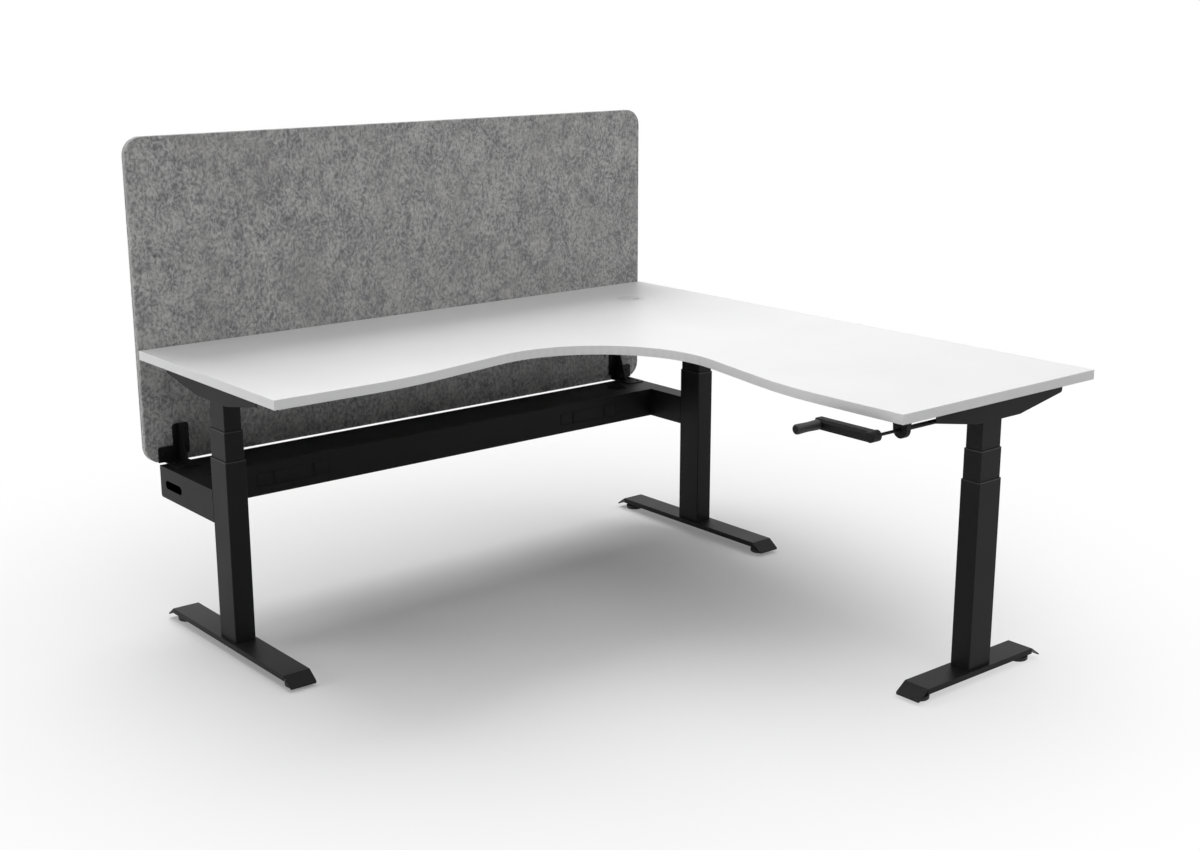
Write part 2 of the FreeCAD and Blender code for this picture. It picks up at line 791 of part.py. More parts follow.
def shaft(label, length):
    """A round drive shaft along its own frame's X axis."""
    body = new_body(label)
    section = sketch_on(body, "YZ_Plane", "0")
    circle(section, "0", "0", "Dims.shaft_radius")
    pad(body, section, length)
    return body


def drive_shafts():
    """The shaft between the rear legs and the one from the right leg to the junction."""
    seat = "(Dims.gearbox_width / 2 - Dims.shaft_seat + Dims.sliding_clearance)"
    start = "%s + %s" % (LEFT_LEG_X, seat)
    long_shaft = shaft("long_shaft", "%s - %s - (%s)" % (CORNER_LEG_X, seat, start))
    place(long_shaft, start, WING_AXIS, DRIVE_AXIS)
    start = "%s + %s" % (RIGHT_LEG_Y, seat)
    far = "Dims.junction_size / 2 - Dims.shaft_seat + Dims.sliding_clearance"
    cross_shaft = shaft("cross_shaft", "%s - (%s) - (%s)" % (WING_AXIS, far, start))
    place(cross_shaft, RIGHT_LEG_X, start, DRIVE_AXIS, turn=90)


def junction_gearbox():
    """The housing where the two shafts meet, inside the long rail."""
    body = new_body("junction_gearbox")
    half = "Dims.junction_size / 2"
    low = "(%s - Dims.junction_drop)" % DRIVE_AXIS
    top = "(%s - Dims.rail_wall)" % UNDERSIDE
    block = sketch_on(body, "XY_Plane", low)
    polygon(block, [
        ("-" + half, "-" + half),
        (half, "-" + half),
        (half, half),
        ("-" + half, half),
    ])
    pad(body, block, "%s - %s" % (top, low))
    chamfer(body, lambda edge: straight_along(edge, Vector(0, 0, 1)), "Dims.gearbox_chamfer")
    through = sketch_on(body, "YZ_Plane", half)
    circle(through, "0", DRIVE_AXIS, "Dims.shaft_radius + Dims.running_clearance")
    pocket(body, through, "Dims.junction_size")
    seat = sketch_on(body, "XZ_Plane", half)
    circle(seat, "0", DRIVE_AXIS, "Dims.shaft_radius + Dims.running_clearance")
    pocket(body, seat, "Dims.shaft_seat")
    place(body, RIGHT_LEG_X, WING_AXIS, "0")


def place_on_crank(body, axis=Vector(0, 0, 1), turn=0, throw="0"):
    """Put a body on the crank's axis, at the inner edge of the right wing."""
    place(body, CRANK_EDGE, "%s + %s" % (RIGHT_LEG_Y, throw), DRIVE_AXIS, axis, turn)


def crank_arm():
    """A bar with both outer edges bevelled, on a round hub that takes the rod."""
    body = new_body("crank_arm")
    half = "(Dims.crank_bar_height / 2)"
    inner_face = "-Dims.crank_edge_gap"
    outer_face = "-(Dims.crank_edge_gap + Dims.crank_bar_thickness)"
    far = "(Dims.crank_throw + Dims.crank_bar_height / 2)"
    bar = sketch_on(body, "XZ_Plane", "-" + far)
    polygon(bar, [
        (outer_face, "-(%s - Dims.crank_bevel_drop)" % half),
        (outer_face + " + Dims.crank_bevel", "-" + half),
        (inner_face, "-" + half),
        (inner_face, half),
        (outer_face + " + Dims.crank_bevel", half),
        (outer_face, half + " - Dims.crank_bevel_drop"),
    ])
    pad(body, bar, far)
    hub = sketch_on(body, "YZ_Plane", outer_face)
    circle(hub, "0", "0", "Dims.crank_hub_radius")
    pad(body, hub, "Dims.crank_bar_thickness + Dims.crank_hub_depth")
    rim = value(outer_face)

    def outer_arc(edge):
        on_face = abs(edge.CenterOfMass.x - rim) < SAME_PLACE
        return on_face and isinstance(edge.Curve, Part.Circle)

    chamfer(body, outer_arc, "Dims.crank_hub_bevel")
    socket = sketch_on(body, "YZ_Plane", "Dims.crank_hub_depth - Dims.crank_edge_gap")
    circle(socket, "0", "0", "Dims.crank_stub_radius + Dims.running_clearance")
    pocket(body, socket, "Dims.crank_socket + Dims.crank_hub_depth")
    pin_bore = sketch_on(body, "YZ_Plane", inner_face)
    circle(pin_bore, "Dims.crank_throw", "0", "Dims.grip_pin_radius + Dims.running_clearance")
    pocket(body, pin_bore, "Dims.crank_bar_thickness")
    place_on_crank(body)


def crank_rod():
    """The rod from the crank's hub, through its bearing, into the right leg's gearbox."""
    body = new_body("crank_rod")
    start = "-(Dims.crank_edge_gap + Dims.crank_socket)"
    step = "(Dims.bearing_inset + Dims.bearing_lug_thickness + Dims.sliding_clearance)"
    seat = "(Dims.gearbox_length / 2 - Dims.shaft_seat + Dims.sliding_clearance)"
    end = "(%s - %s - %s)" % (RIGHT_LEG_X, CRANK_EDGE, seat)
    turned(body, [
        ("0", start),
        ("Dims.crank_stub_radius", start),
        ("Dims.crank_stub_radius", step),
        ("Dims.rod_radius", step),
        ("Dims.rod_radius", end),
        ("0", end),
    ])
    place_on_crank(body, Vector(0, 1, 0), 90)


def grip_pin():
    """The pin that the grip turns on, fixed in the crank arm, with a round head."""
    body = new_body("grip_pin")
    face = "(Dims.crank_edge_gap + Dims.crank_bar_thickness)"
    end = "(%s + Dims.grip_gap + Dims.grip_length)" % face
    neck = "(%s - Dims.grip_head_depth)" % end
    turned(body, [
        ("0", "Dims.crank_edge_gap"),
        ("Dims.grip_pin_radius", "Dims.crank_edge_gap"),
        ("Dims.grip_pin_radius", neck),
        ("Dims.grip_head_radius", neck),
        ("Dims.grip_head_radius", end),
        ("0", end),
    ])
    place_on_crank(body, Vector(0, 1, 0), -90, "Dims.crank_throw")


def crank_grip():
    """The loose sleeve that the hand holds, with a recess round the pin's head."""
    body = new_body("crank_grip")
    start = "(Dims.crank_edge_gap + Dims.crank_bar_thickness + Dims.grip_gap)"
    end = "(%s + Dims.grip_length)" % start
    bore = "(Dims.grip_pin_radius + Dims.running_clearance)"
    recess = "(Dims.grip_head_radius + Dims.sliding_clearance)"
    floor = "(%s - Dims.grip_head_depth - Dims.sliding_clearance)" % end
    turned(body, [
        (bore, start),
        ("Dims.grip_radius", start),
        ("Dims.grip_radius", end),
        (recess, end),
        (recess, floor),
        (bore, floor),
    ])
    reach = value("Dims.grip_radius")

    def outer_rim(edge):
        curve = edge.Curve
        return isinstance(curve, Part.Circle) and abs(curve.Radius - reach) < SAME_PLACE

    fillet(body, outer_rim, "Dims.grip_round")
    place_on_crank(body, Vector(0, 1, 0), -90, "Dims.crank_throw")


def crank_bearing():
    """A flange under the board, with a hanging lug that ends in a round boss and a rib behind it."""
    body = new_body("crank_bearing")
    drop = "Dims.drive_height"
    half_flange = "Dims.bearing_flange_width / 2"
    half_lug = "Dims.bearing_lug_width / 2"
    plate = sketch_on(body, "XY_Plane", drop + " - Dims.bearing_flange_thickness")
    far = "(Dims.bearing_inset + Dims.bearing_flange_length)"
    polygon(plate, [
        ("Dims.bearing_inset", "-" + half_flange),
        (far, "-" + half_flange),
        (far, half_flange),
        ("Dims.bearing_inset", half_flange),
    ])
    pad(body, plate, "Dims.bearing_flange_thickness")
    lug = sketch_on(body, "YZ_Plane", "Dims.bearing_inset")
    polygon(lug, [
        ("-Dims.bearing_boss_radius", "0"),
        ("Dims.bearing_boss_radius", "0"),
        (half_lug, drop + " - Dims.bearing_flange_thickness"),
        ("-" + half_lug, drop + " - Dims.bearing_flange_thickness"),
    ])
    pad(body, lug, "Dims.bearing_lug_thickness")
    boss = sketch_on(body, "YZ_Plane", "Dims.bearing_inset")
    circle(boss, "0", "0", "Dims.bearing_boss_radius")
    pad(body, boss, "Dims.bearing_lug_thickness")
    back_face = "(Dims.bearing_inset + Dims.bearing_lug_thickness)"
    rib_far = back_face + " + Dims.bearing_rib_length"
    rib = sketch_on(body, "XY_Plane", "Dims.bearing_rib_low")
    polygon(rib, [
        (back_face, "-Dims.bearing_rib_width / 2"),
        (rib_far, "-Dims.bearing_rib_width / 2"),
        (rib_far, "Dims.bearing_rib_width / 2"),
        (back_face, "Dims.bearing_rib_width / 2"),
    ])
    pad(body, rib, drop + " - Dims.bearing_flange_thickness - Dims.bearing_rib_low")
    bore = sketch_on(body, "YZ_Plane", back_face)
    circle(bore, "0", "0", "Dims.crank_stub_radius + Dims.running_clearance")
    pocket(body, bore, "Dims.bearing_lug_thickness")
    holes = sketch_on(body, "XY_Plane", drop)
    for across, along in bearing_screw_spots():
        circle(holes, across, along, "Dims.screw_radius + Dims.screw_hole_clearance")
    pocket(body, holes, "Dims.bearing_flange_thickness")
    place_on_crank(body)


def bearing_screw_spots():
    """Where the bearing is screwed to the board, in the crank's frame."""
    across = "Dims.bearing_inset + Dims.bearing_flange_length - 2 * Dims.screw_head_radius"
    along = "(Dims.bearing_flange_width / 2 - 2 * Dims.screw_head_radius)"
    return [(across, "-" + along), (across, along)]


WAIST = "(Dims.wing_depth - Dims.waist_cut)"


def edge_run(length):
    """How far a wing's front edge runs from the end of its straight to the corner's centre."""
    return "(%s - Dims.front_straight - %s - Dims.corner_radius)" % (length, WAIST)


def edge_blend(length):
    """The radius that starts a wing's wave: a share of the one that would meet the corner."""
    limit = "%s ^ 2 / (2 * Dims.waist_cut) + Dims.waist_cut / 2 - Dims.corner_radius"
    return "(Dims.edge_blend_share * (%s))" % (limit % edge_run(length))


def wave(length):
    """Points of a wing's wave: its start, both ends of its slope and the first arc's centre."""
    bend, blend, run = value("Dims.corner_radius"), value(edge_blend(length)), value(edge_run(length))
    front, inset = -value("Dims.wing_depth"), -value(WAIST) - bend
    centre, blend_centre = Vector(inset, inset, 0), Vector(inset - run, front + blend, 0)
    across = centre - blend_centre
    lean = math.degrees(math.acos((blend + bend) / across.Length))
    square = Rotation(Vector(0, 0, 1), -lean).multVec(across.normalize())
    start = Vector(inset - run, front, 0)
    return start, blend_centre + square * blend, centre - square * bend, blend_centre


def work_surface():
    """The L-shaped board: each wing's front edge swings in to a waist, then round the corner.

    The board's own frame has its origin at the rear outer corner of the board. The right
    wing is drawn as the left one's mirror image, with its own length.
    """
    body = new_body("work_surface")
    wide, deep = value("Dims.left_wing_length"), value("Dims.right_wing_length")
    wing, inset = value("Dims.wing_depth"), -value(WAIST + " + Dims.corner_radius")
    start, meet, leave, blend_centre = wave("Dims.left_wing_length")
    right = [Vector(spot.y, spot.x, 0) for spot in wave("Dims.right_wing_length")]
    right_start, right_meet, right_leave, right_centre = right
    outline = sketch_on(body, "XY_Plane", "0")
    corners = [Vector(0, 0, 0), Vector(-wide, 0, 0), Vector(-wide, -wing, 0)]
    far_corners = [Vector(-wing, -deep, 0), Vector(0, -deep, 0)]
    outline.addGeometry([
        Part.LineSegment(corners[0], corners[1]),
        Part.LineSegment(corners[1], corners[2]),
        Part.LineSegment(corners[2], start),
        arc_between(blend_centre, start, meet),
        Part.LineSegment(meet, leave),
        arc_between(Vector(inset, inset, 0), right_leave, leave),
        Part.LineSegment(right_leave, right_meet),
        arc_between(right_centre, right_meet, right_start),
        Part.LineSegment(right_start, far_corners[0]),
        Part.LineSegment(far_corners[0], far_corners[1]),
        Part.LineSegment(far_corners[1], corners[0]),
    ])
    for kind, first, first_end, second, second_end in [
        ("Coincident", 0, END, 1, START),
        ("Coincident", 1, END, 2, START),
        ("Tangent", 2, END, 3, START),
        ("Tangent", 3, END, 4, START),
        ("Tangent", 4, END, 5, END),
        ("Tangent", 5, START, 6, START),
        ("Tangent", 6, END, 7, START),
        ("Tangent", 7, END, 8, START),
        ("Coincident", 8, END, 9, START),
        ("Coincident", 9, END, 10, START),
        ("Coincident", 10, END, 0, START),
    ]:
        join(outline, kind, first, first_end, second, second_end)
    outline.addConstraint(Sketcher.Constraint("Coincident", 0, START, -1, START))
    for level, sides in (("Horizontal", (0, 2, 9)), ("Vertical", (1, 8, 10))):
        for side in sides:
            outline.addConstraint(Sketcher.Constraint(level, side))
    fix(outline, "DistanceX", 1, END, "-Dims.left_wing_length")
    fix(outline, "DistanceY", 1, END, "-Dims.wing_depth")
    fix(outline, "DistanceX", 8, END, "-Dims.wing_depth")
    fix(outline, "DistanceY", 8, END, "-Dims.right_wing_length")
    fix(outline, "DistanceX", 2, END, "-(Dims.left_wing_length - Dims.front_straight)")
    fix(outline, "DistanceY", 8, START, "-(Dims.right_wing_length - Dims.front_straight)")
    fix(outline, "Radius", 3, None, edge_blend("Dims.left_wing_length"))
    fix(outline, "Radius", 7, None, edge_blend("Dims.right_wing_length"))
    fix(outline, "Radius", 5, None, "Dims.corner_radius")
    fix(outline, "DistanceX", 5, CENTRE, "-(%s + Dims.corner_radius)" % WAIST)
    fix(outline, "DistanceY", 5, CENTRE, "-(%s + Dims.corner_radius)" % WAIST)
    pad(body, outline, "Dims.board_thickness")
    port = sketch_on(body, "XY_Plane", "Dims.board_thickness")
    circle(port, "-Dims.port_inset", "-Dims.port_inset", "Dims.port_hole_radius")
    pocket(body, port, "Dims.board_thickness")
    recess = sketch_on(body, "XY_Plane", "Dims.board_thickness")
    circle(recess, "-Dims.port_inset", "-Dims.port_inset",
           "Dims.port_flange_radius + Dims.port_clearance")
    pocket(body, recess, "Dims.port_flange_thickness")
    pilots = sketch_on(body, "XY_Plane", "Dims.board_screw_length - Dims.arm_wall")
    for across, along in board_screw_spots():
        away = ("%s - %s" % (across, RIGHT_EDGE), "%s - %s" % (along, BOARD_BACK))
        circle(pilots, away[0], away[1], "Dims.screw_radius + Dims.running_clearance")
    pocket(body, pilots, "Dims.board_screw_length - Dims.arm_wall + Dims.overrun")
    place(body, RIGHT_EDGE, BOARD_BACK, UNDERSIDE)


def board_screw_spots():
    """Every screw up into the board, in the row frame."""
    spots = []
    for across, along, turn, _ in LEGS.values():
        for aside, ahead in arm_screw_spots():
            if turn:
                spots.append(("%s + %s" % (across, ahead), "%s - (%s)" % (along, aside)))
            else:
                spots.append(("%s + %s" % (across, aside), "%s + %s" % (along, ahead)))
    for aside, ahead in bearing_screw_spots():
        spots.append(("%s + %s" % (CRANK_EDGE, aside), "%s + %s" % (RIGHT_LEG_Y, ahead)))
    return spots


def board_screws():
    """Pan-head screws through the arms and the crank's bearing into the board."""
    body = new_body("board_screws")
    spots = board_screw_spots()
    arm_spots, bearing_spots = spots[:-2], spots[-2:]
    shank_low = UNDERSIDE + " - Dims.arm_wall"
    for group, sheet_size in ((arm_spots, "Dims.arm_wall"),
                              (bearing_spots, "Dims.bearing_flange_thickness")):
        seat = "(%s - %s)" % (UNDERSIDE, sheet_size)
        heads = sketch_on(body, "XY_Plane", seat + " - Dims.screw_head_height")
        shanks = sketch_on(body, "XY_Plane", seat)
        for across, along in group:
            circle(heads, across, along, "Dims.screw_head_radius")
            circle(shanks, across, along, "Dims.screw_radius")
        pad(body, heads, "Dims.screw_head_height")
        pad(body, shanks, "%s + Dims.board_screw_length - %s" % (shank_low, seat))


def cable_port():
    """The sleeve let into the board, flush with its top, and the slotted cap that lies in it."""
    sleeve = new_body("port_sleeve")
    top = "Dims.board_thickness"
    seat = "(Dims.board_thickness - Dims.port_flange_thickness)"
    ledge = "(Dims.board_thickness - Dims.port_ledge_depth)"
    ledge_bore = "(Dims.port_bore_radius - Dims.port_ledge_width)"
    outside = "(Dims.port_hole_radius - Dims.port_clearance)"
    turned(sleeve, [
        (ledge_bore, "0"),
        (outside, "0"),
        (outside, seat),
        ("Dims.port_flange_radius", seat),
        ("Dims.port_flange_radius", top),
        ("Dims.port_bore_radius", top),
        ("Dims.port_bore_radius", ledge),
        (ledge_bore, ledge),
    ])
    place(sleeve, PORT_X, PORT_Y, UNDERSIDE)
    cap = new_body("port_cap")
    disc = sketch_on(cap, "XY_Plane", ledge)
    circle(disc, "0", "0", "Dims.port_bore_radius - Dims.port_clearance")
    slot(disc, "Dims.port_slot_across", "-Dims.port_slot_forward", "Dims.port_slot_length",
         "Dims.port_slot_width")
    pad(cap, disc, "Dims.port_ledge_depth")
    place(cap, PORT_X, PORT_Y, UNDERSIDE)


def knockout_spots():
    """Each knock-out as its left edge and its width, in the row frame."""
    total = "(2 * Dims.knockout_small + Dims.knockout_large + 2 * Dims.knockout_rib)"
    spots = []
    for centre in (
        "(Dims.knockout_left - %s)" % RIGHT_EDGE,
        "(%s - Dims.knockout_right)" % RIGHT_EDGE,
    ):
        edge = "(%s - %s / 2)" % (centre, total)
        for width in ("Dims.knockout_small", "Dims.knockout_large", "Dims.knockout_small"):
            spots.append((edge, width))
            edge = "(%s + %s + Dims.knockout_rib)" % (edge, width)
    return spots


def upright_box(sketch, left, width, centre_height, height, grow):
    """A rectangle in a sketch whose first axis is X and second is Z, grown on all sides."""
    west = "%s - (%s)" % (left, grow)
    east = "%s + %s + (%s)" % (left, width, grow)
    low = "%s - %s / 2 - (%s)" % (centre_height, height, grow)
    high = "%s + %s / 2 + (%s)" % (centre_height, height, grow)
    polygon(sketch, [(west, low), (east, low), (east, high), (west, high)])


TRAY_MIDDLE = "(Dims.tray_top - Dims.tray_height / 2)"


def cable_tray():
    """The tray: a folded channel, open above, with cut-outs for its knock-outs."""
    body = new_body("cable_tray")
    back, front = TRAY_BACK, TRAY_FRONT
    inner_back = "(%s - Dims.tray_sheet)" % back
    inner_front = "(%s + Dims.tray_sheet)" % front
    floor = "(%s + Dims.tray_sheet)" % TRAY_BOTTOM
    rim = "(Dims.tray_top - Dims.tray_sheet)"
    section = sketch_on(body, "YZ_Plane", TRAY_LEFT + " + Dims.tray_sheet")
    polygon(section, [
        (front, TRAY_BOTTOM),
        (back, TRAY_BOTTOM),
        (back, rim),
        (inner_back, rim),
        (inner_back, floor),
        (inner_front, floor),
        (inner_front, rim),
        (front, rim),
    ])
    pad(body, section, "%s - %s - 2 * Dims.tray_sheet" % (TRAY_RIGHT, TRAY_LEFT))
    folds = [(value(back), value(TRAY_BOTTOM)), (value(inner_back), value(floor))]
    for (along, up), bend in zip(folds, ("Dims.tray_bend", "Dims.tray_bend - Dims.tray_sheet")):
        fillet(body, lambda edge: lies_at(edge, along, up), bend)
    cuts = sketch_on(body, "XZ_Plane", "-%s" % inner_front)
    for left, width in knockout_spots():
        upright_box(cuts, left, width, TRAY_MIDDLE, "Dims.knockout_height", "0")
    doc.recompute()
    before = body.Shape.Volume
    feature = pad_cut(body, cuts, "Dims.tray_sheet")
    doc.recompute()
    if not body.Shape.Volume < before:
        raise RuntimeError("the knock-outs cut nothing")
    return feature


def pad_cut(body, sketch, length):
    """A pocket that goes along the normal of its sketch."""
    feature = body.newObject("PartDesign::Pocket", body.Name + "_cut")
    feature.Profile = sketch
    feature.Reversed = True
    feature.setExpression("Length", length)
    return feature


def knockout_covers():
    """Thin covers that clip into the tray's front wall from behind."""
    body = new_body("knockout_covers")
    inner_front = "(%s + Dims.tray_sheet)" % TRAY_FRONT
    face = sketch_on(body, "XZ_Plane", "-%s" % inner_front)
    lap = sketch_on(body, "XZ_Plane", "-(%s + Dims.knockout_back_sheet)" % inner_front)
    lap_grow = "Dims.knockout_rib / 2 - Dims.sliding_clearance"
    for left, width in knockout_spots():
        upright_box(face, left, width, TRAY_MIDDLE, "Dims.knockout_height",
                    "-Dims.sliding_clearance")
        upright_box(lap, left, width, TRAY_MIDDLE, "Dims.knockout_height", lap_grow)
    pad(body, lap, "Dims.knockout_back_sheet")
    pad(body, face, "Dims.tray_sheet")


def entry_spots():
    """Centres of the two cable entries in the tray's lid."""
    along = "%s - Dims.entry_back" % TRAY_BACK
    left = "Dims.entry_inset - %s" % RIGHT_EDGE
    right = "%s - Dims.entry_inset" % RIGHT_EDGE
    return [(left, along), (right, along)]


def bracket_base_screws():
    """Screws that hold the screen brackets down, in the row frame."""
    spots = []
    for side, edge in (("-1", "-1 * " + RIGHT_EDGE), ("1", RIGHT_EDGE)):
        across = "%s - %s * Dims.base_screw_inset" % (edge, side)
        for reach in ("Dims.base_screw_front", "Dims.base_screw_back"):
            spots.append((across, "%s - %s" % (SCREEN_FACE, reach)))
    return spots


def tray_lid():
    """The folded lid, with lips inside the tray's walls and two cable entries."""
    body = new_body("tray_lid")
    under = "(Dims.tray_top - Dims.tray_sheet)"
    left = "(%s + Dims.tray_sheet)" % TRAY_LEFT
    right = "(%s - Dims.tray_sheet)" % TRAY_RIGHT
    gap = "(Dims.tray_sheet + Dims.sliding_clearance)"
    lip_back = "(%s - %s)" % (TRAY_BACK, gap)
    lip_front = "(%s + %s)" % (TRAY_FRONT, gap)
    lip_low = "(%s - Dims.tray_lip)" % under
    section = sketch_on(body, "YZ_Plane", left)
    polygon(section, [
        (TRAY_FRONT, "Dims.tray_top"),
        (TRAY_FRONT, under),
        (lip_front, under),
        (lip_front, lip_low),
        (lip_front + " + Dims.tray_sheet", lip_low),
        (lip_front + " + Dims.tray_sheet", under),
        (lip_back + " - Dims.tray_sheet", under),
        (lip_back + " - Dims.tray_sheet", lip_low),
        (lip_back, lip_low),
        (lip_back, under),
        (TRAY_BACK, under),
        (TRAY_BACK, "Dims.tray_top"),
    ])
    pad(body, section, "%s - %s" % (right, left))
    holes = sketch_on(body, "XY_Plane", "Dims.tray_top")
    for across, along in entry_spots():
        half_width = "Dims.entry_length / 2"
        half_depth = "Dims.entry_width / 2"
        rounded_box(holes, "%s - %s" % (across, half_width), "%s + %s" % (across, half_width),
                    "%s - %s" % (along, half_depth), "%s + %s" % (along, half_depth),
                    "Dims.entry_length / 3")
    for across, along in bracket_base_screws():
        circle(holes, across, along, "Dims.screw_radius + Dims.screw_hole_clearance")
    pocket(body, holes, "Dims.tray_sheet")


def tray_return(label, outer_face, side):
    """The box arm from the tray to a rear column; its outer wall also closes the tray's end.

    side is -1 for the left return, whose outer face looks along -X, and 1 for the corner one.
    """
    body = new_body(label)
    inner_face = "(%s - %s * Dims.outer_width)" % (outer_face, side)
    skin = "%s * Dims.tray_sheet" % side
    reach = "(%s - %s)" % (TRAY_FRONT, COLUMN_BACK)
    box = sketch_on(body, "XZ_Plane", "-%s" % TRAY_FRONT)
    for inset, skin_share in (("0", "0"), ("Dims.tray_sheet", "1")):
        edge = "%s - %s * %s" % (outer_face, skin_share, skin)
        other = "%s + %s * %s" % (inner_face, skin_share, skin)
        low = "%s + %s" % (TRAY_BOTTOM, inset)
        high = "Dims.tray_top - %s" % inset
        polygon(box, [(edge, low), (other, low), (other, high), (edge, high)])
    pad(body, box, reach)
    flange = sketch_on(body, "XZ_Plane", "-(%s + Dims.tray_sheet)" % COLUMN_BACK)
    polygon(flange, [
        (outer_face, TRAY_BOTTOM),
        (inner_face, TRAY_BOTTOM),
        (inner_face, "Dims.tray_top"),
        (outer_face, "Dims.tray_top"),
    ])
    pad(body, flange, "Dims.tray_sheet")
    low_face = "%s - Dims.tray_sheet" % outer_face if side == "1" else outer_face
    end = sketch_on(body, "YZ_Plane", low_face)
    polygon(end, [
        (TRAY_FRONT + " - Dims.overrun", TRAY_BOTTOM),
        (TRAY_BACK, TRAY_BOTTOM),
        (TRAY_BACK, "Dims.tray_top"),
        (TRAY_FRONT + " - Dims.overrun", "Dims.tray_top"),
    ])
    slot(end, "%s - Dims.end_slot_back" % TRAY_BACK, "%s + Dims.end_slot_low" % TRAY_BOTTOM,
         "Dims.end_slot_length", "Dims.end_slot_height")
    pad(body, end, "Dims.tray_sheet")
    corner = (value(TRAY_BACK), value(TRAY_BOTTOM))
    fillet(body, lambda edge: lies_at(edge, corner[0], corner[1]), "Dims.tray_bend")


def screen_screw_spots(side):
    """Where a bracket is screwed to the screen, as X and Z in the row frame."""
    edge = "%s * %s" % (side, RIGHT_EDGE)
    return [
        ("%s - %s * Dims.face_screw_inset" % (edge, side), "Dims.tray_top + Dims.face_screw_low"),
        ("%s - %s * Dims.face_screw_inset" % (edge, side), "Dims.tray_top + Dims.face_screw_high"),
        ("%s - %s * Dims.ear_screw_inset" % (edge, side), "Dims.tray_top + Dims.ear_screw_height"),
    ]


def screen_bracket(label, side):
    """A folded bracket: a base on the tray, a sloping web, and a face plate with an ear."""
    body = new_body(label)
    edge = "%s * %s" % (side, RIGHT_EDGE)

    def inward(distance):
        return "%s - %s * %s" % (edge, side, distance)

    top = "(Dims.tray_top + Dims.bracket_height)"
    ear_top = "(Dims.tray_top + Dims.ear_height)"
    face_low = "(Dims.tray_top + Dims.face_low)"
    face = sketch_on(body, "XZ_Plane", "-%s" % SCREEN_FACE)
    polygon(face, [
        (inward("Dims.ear_inset"), "Dims.tray_top"),
        (inward("Dims.base_far"), "Dims.tray_top"),
        (inward("Dims.base_far"), face_low),
        (inward("Dims.face_far"), face_low),
        (inward("Dims.face_far"), top),
        (inward("Dims.face_inset"), top),
        (inward("Dims.face_inset"), ear_top),
        (inward("Dims.ear_inset"), ear_top),
    ])
    pad(body, face, "Dims.bracket_sheet")
    outer_corners = [value(inward(name)) for name in ("Dims.ear_inset", "Dims.face_far",
                                                      "Dims.face_inset")]
    heights = [value(ear_top), value(top), value(face_low)]

    def round_corner(bend):
        middle = bend.CenterOfMass
        beside = min(abs(middle.x - spot) for spot in outer_corners) < SAME_PLACE
        level = min(abs(middle.z - height) for height in heights) < SAME_PLACE
        inner = abs(middle.x - outer_corners[2]) < SAME_PLACE and abs(middle.z - heights[0]) < SAME_PLACE
        return beside and level and not inner and straight_along(bend, Vector(0, 1, 0))

    fillet(body, round_corner, "Dims.bracket_corner")
    base = sketch_on(body, "XY_Plane", "Dims.tray_top")
    polygon(base, [
        (inward("Dims.base_inset"), "%s - Dims.base_reach" % SCREEN_FACE),
        (inward("Dims.base_far"), "%s - Dims.base_reach" % SCREEN_FACE),
        (inward("Dims.base_far"), SCREEN_FACE),
        (inward("Dims.base_inset"), SCREEN_FACE),
    ])
    pad(body, base, "Dims.bracket_sheet")
    front = value("%s - Dims.base_reach" % SCREEN_FACE)

    def front_corner(bend):
        at_front = abs(bend.CenterOfMass.y - front) < SAME_PLACE
        return at_front and straight_along(bend, Vector(0, 0, 1))

    fillet(body, front_corner, "Dims.bracket_corner")
    web_face = inward("(Dims.web_inset + Dims.bracket_sheet)")
    if side == "-1":
        web_face = inward("Dims.web_inset")
    web = sketch_on(body, "YZ_Plane", web_face)
    polygon(web, [
        ("%s - Dims.web_foot" % SCREEN_FACE, "Dims.tray_top"),
        (SCREEN_FACE, "Dims.tray_top"),
        (SCREEN_FACE, top),
        ("%s - Dims.web_head" % SCREEN_FACE, top),
    ])
    pad(body, web, "Dims.bracket_sheet")
    holes = sketch_on(body, "XY_Plane", "Dims.tray_top + Dims.bracket_sheet")
    for reach in ("Dims.base_screw_front", "Dims.base_screw_back"):
        circle(holes, inward("Dims.base_screw_inset"), "%s - %s" % (SCREEN_FACE, reach),
               "Dims.screw_radius + Dims.screw_hole_clearance")
    pocket(body, holes, "Dims.bracket_sheet")
    bores = sketch_on(body, "XZ_Plane", "-(%s - Dims.bracket_sheet)" % SCREEN_FACE)
    for across, up in screen_screw_spots(side):
        circle(bores, across, up, "Dims.screw_radius + Dims.screw_hole_clearance")
    pocket(body, bores, "Dims.bracket_sheet")


def screen_layer(label, near_face, thickness, pilot_depth):
    """One full-size layer of the screen, with pilot holes where bracket screws enter it."""
    body = new_body(label)
    outline = sketch_on(body, "XZ_Plane", "-(%s + %s)" % (near_face, thickness))
    half = RIGHT_EDGE
    rounded_box(outline, "-1 * " + half, half, "Dims.screen_bottom",
                "Dims.screen_bottom + Dims.screen_height", "Dims.screen_corner")
    pad(body, outline, thickness)
    if pilot_depth:
        pilots = sketch_on(body, "XZ_Plane", "-%s" % near_face)
        for side in ("-1", "1"):
            for across, up in screen_screw_spots(side):
                circle(pilots, across, up, "Dims.screw_radius + Dims.running_clearance")
        pocket(body, pilots, pilot_depth)


def screen():
    """Felt in front, a stiff core, and felt behind."""
    core_face = "(%s + Dims.front_felt)" % SCREEN_FACE
    back_face = "(%s + Dims.screen_core)" % core_face
    screw_depth = "(Dims.screw_length - Dims.bracket_sheet - Dims.front_felt)"
    screen_layer("screen_front_felt", SCREEN_FACE, "Dims.front_felt", "Dims.front_felt")
    screen_layer("screen_core", core_face, "Dims.screen_core", screw_depth)
    screen_layer("screen_back_felt", back_face, "Dims.back_felt", None)


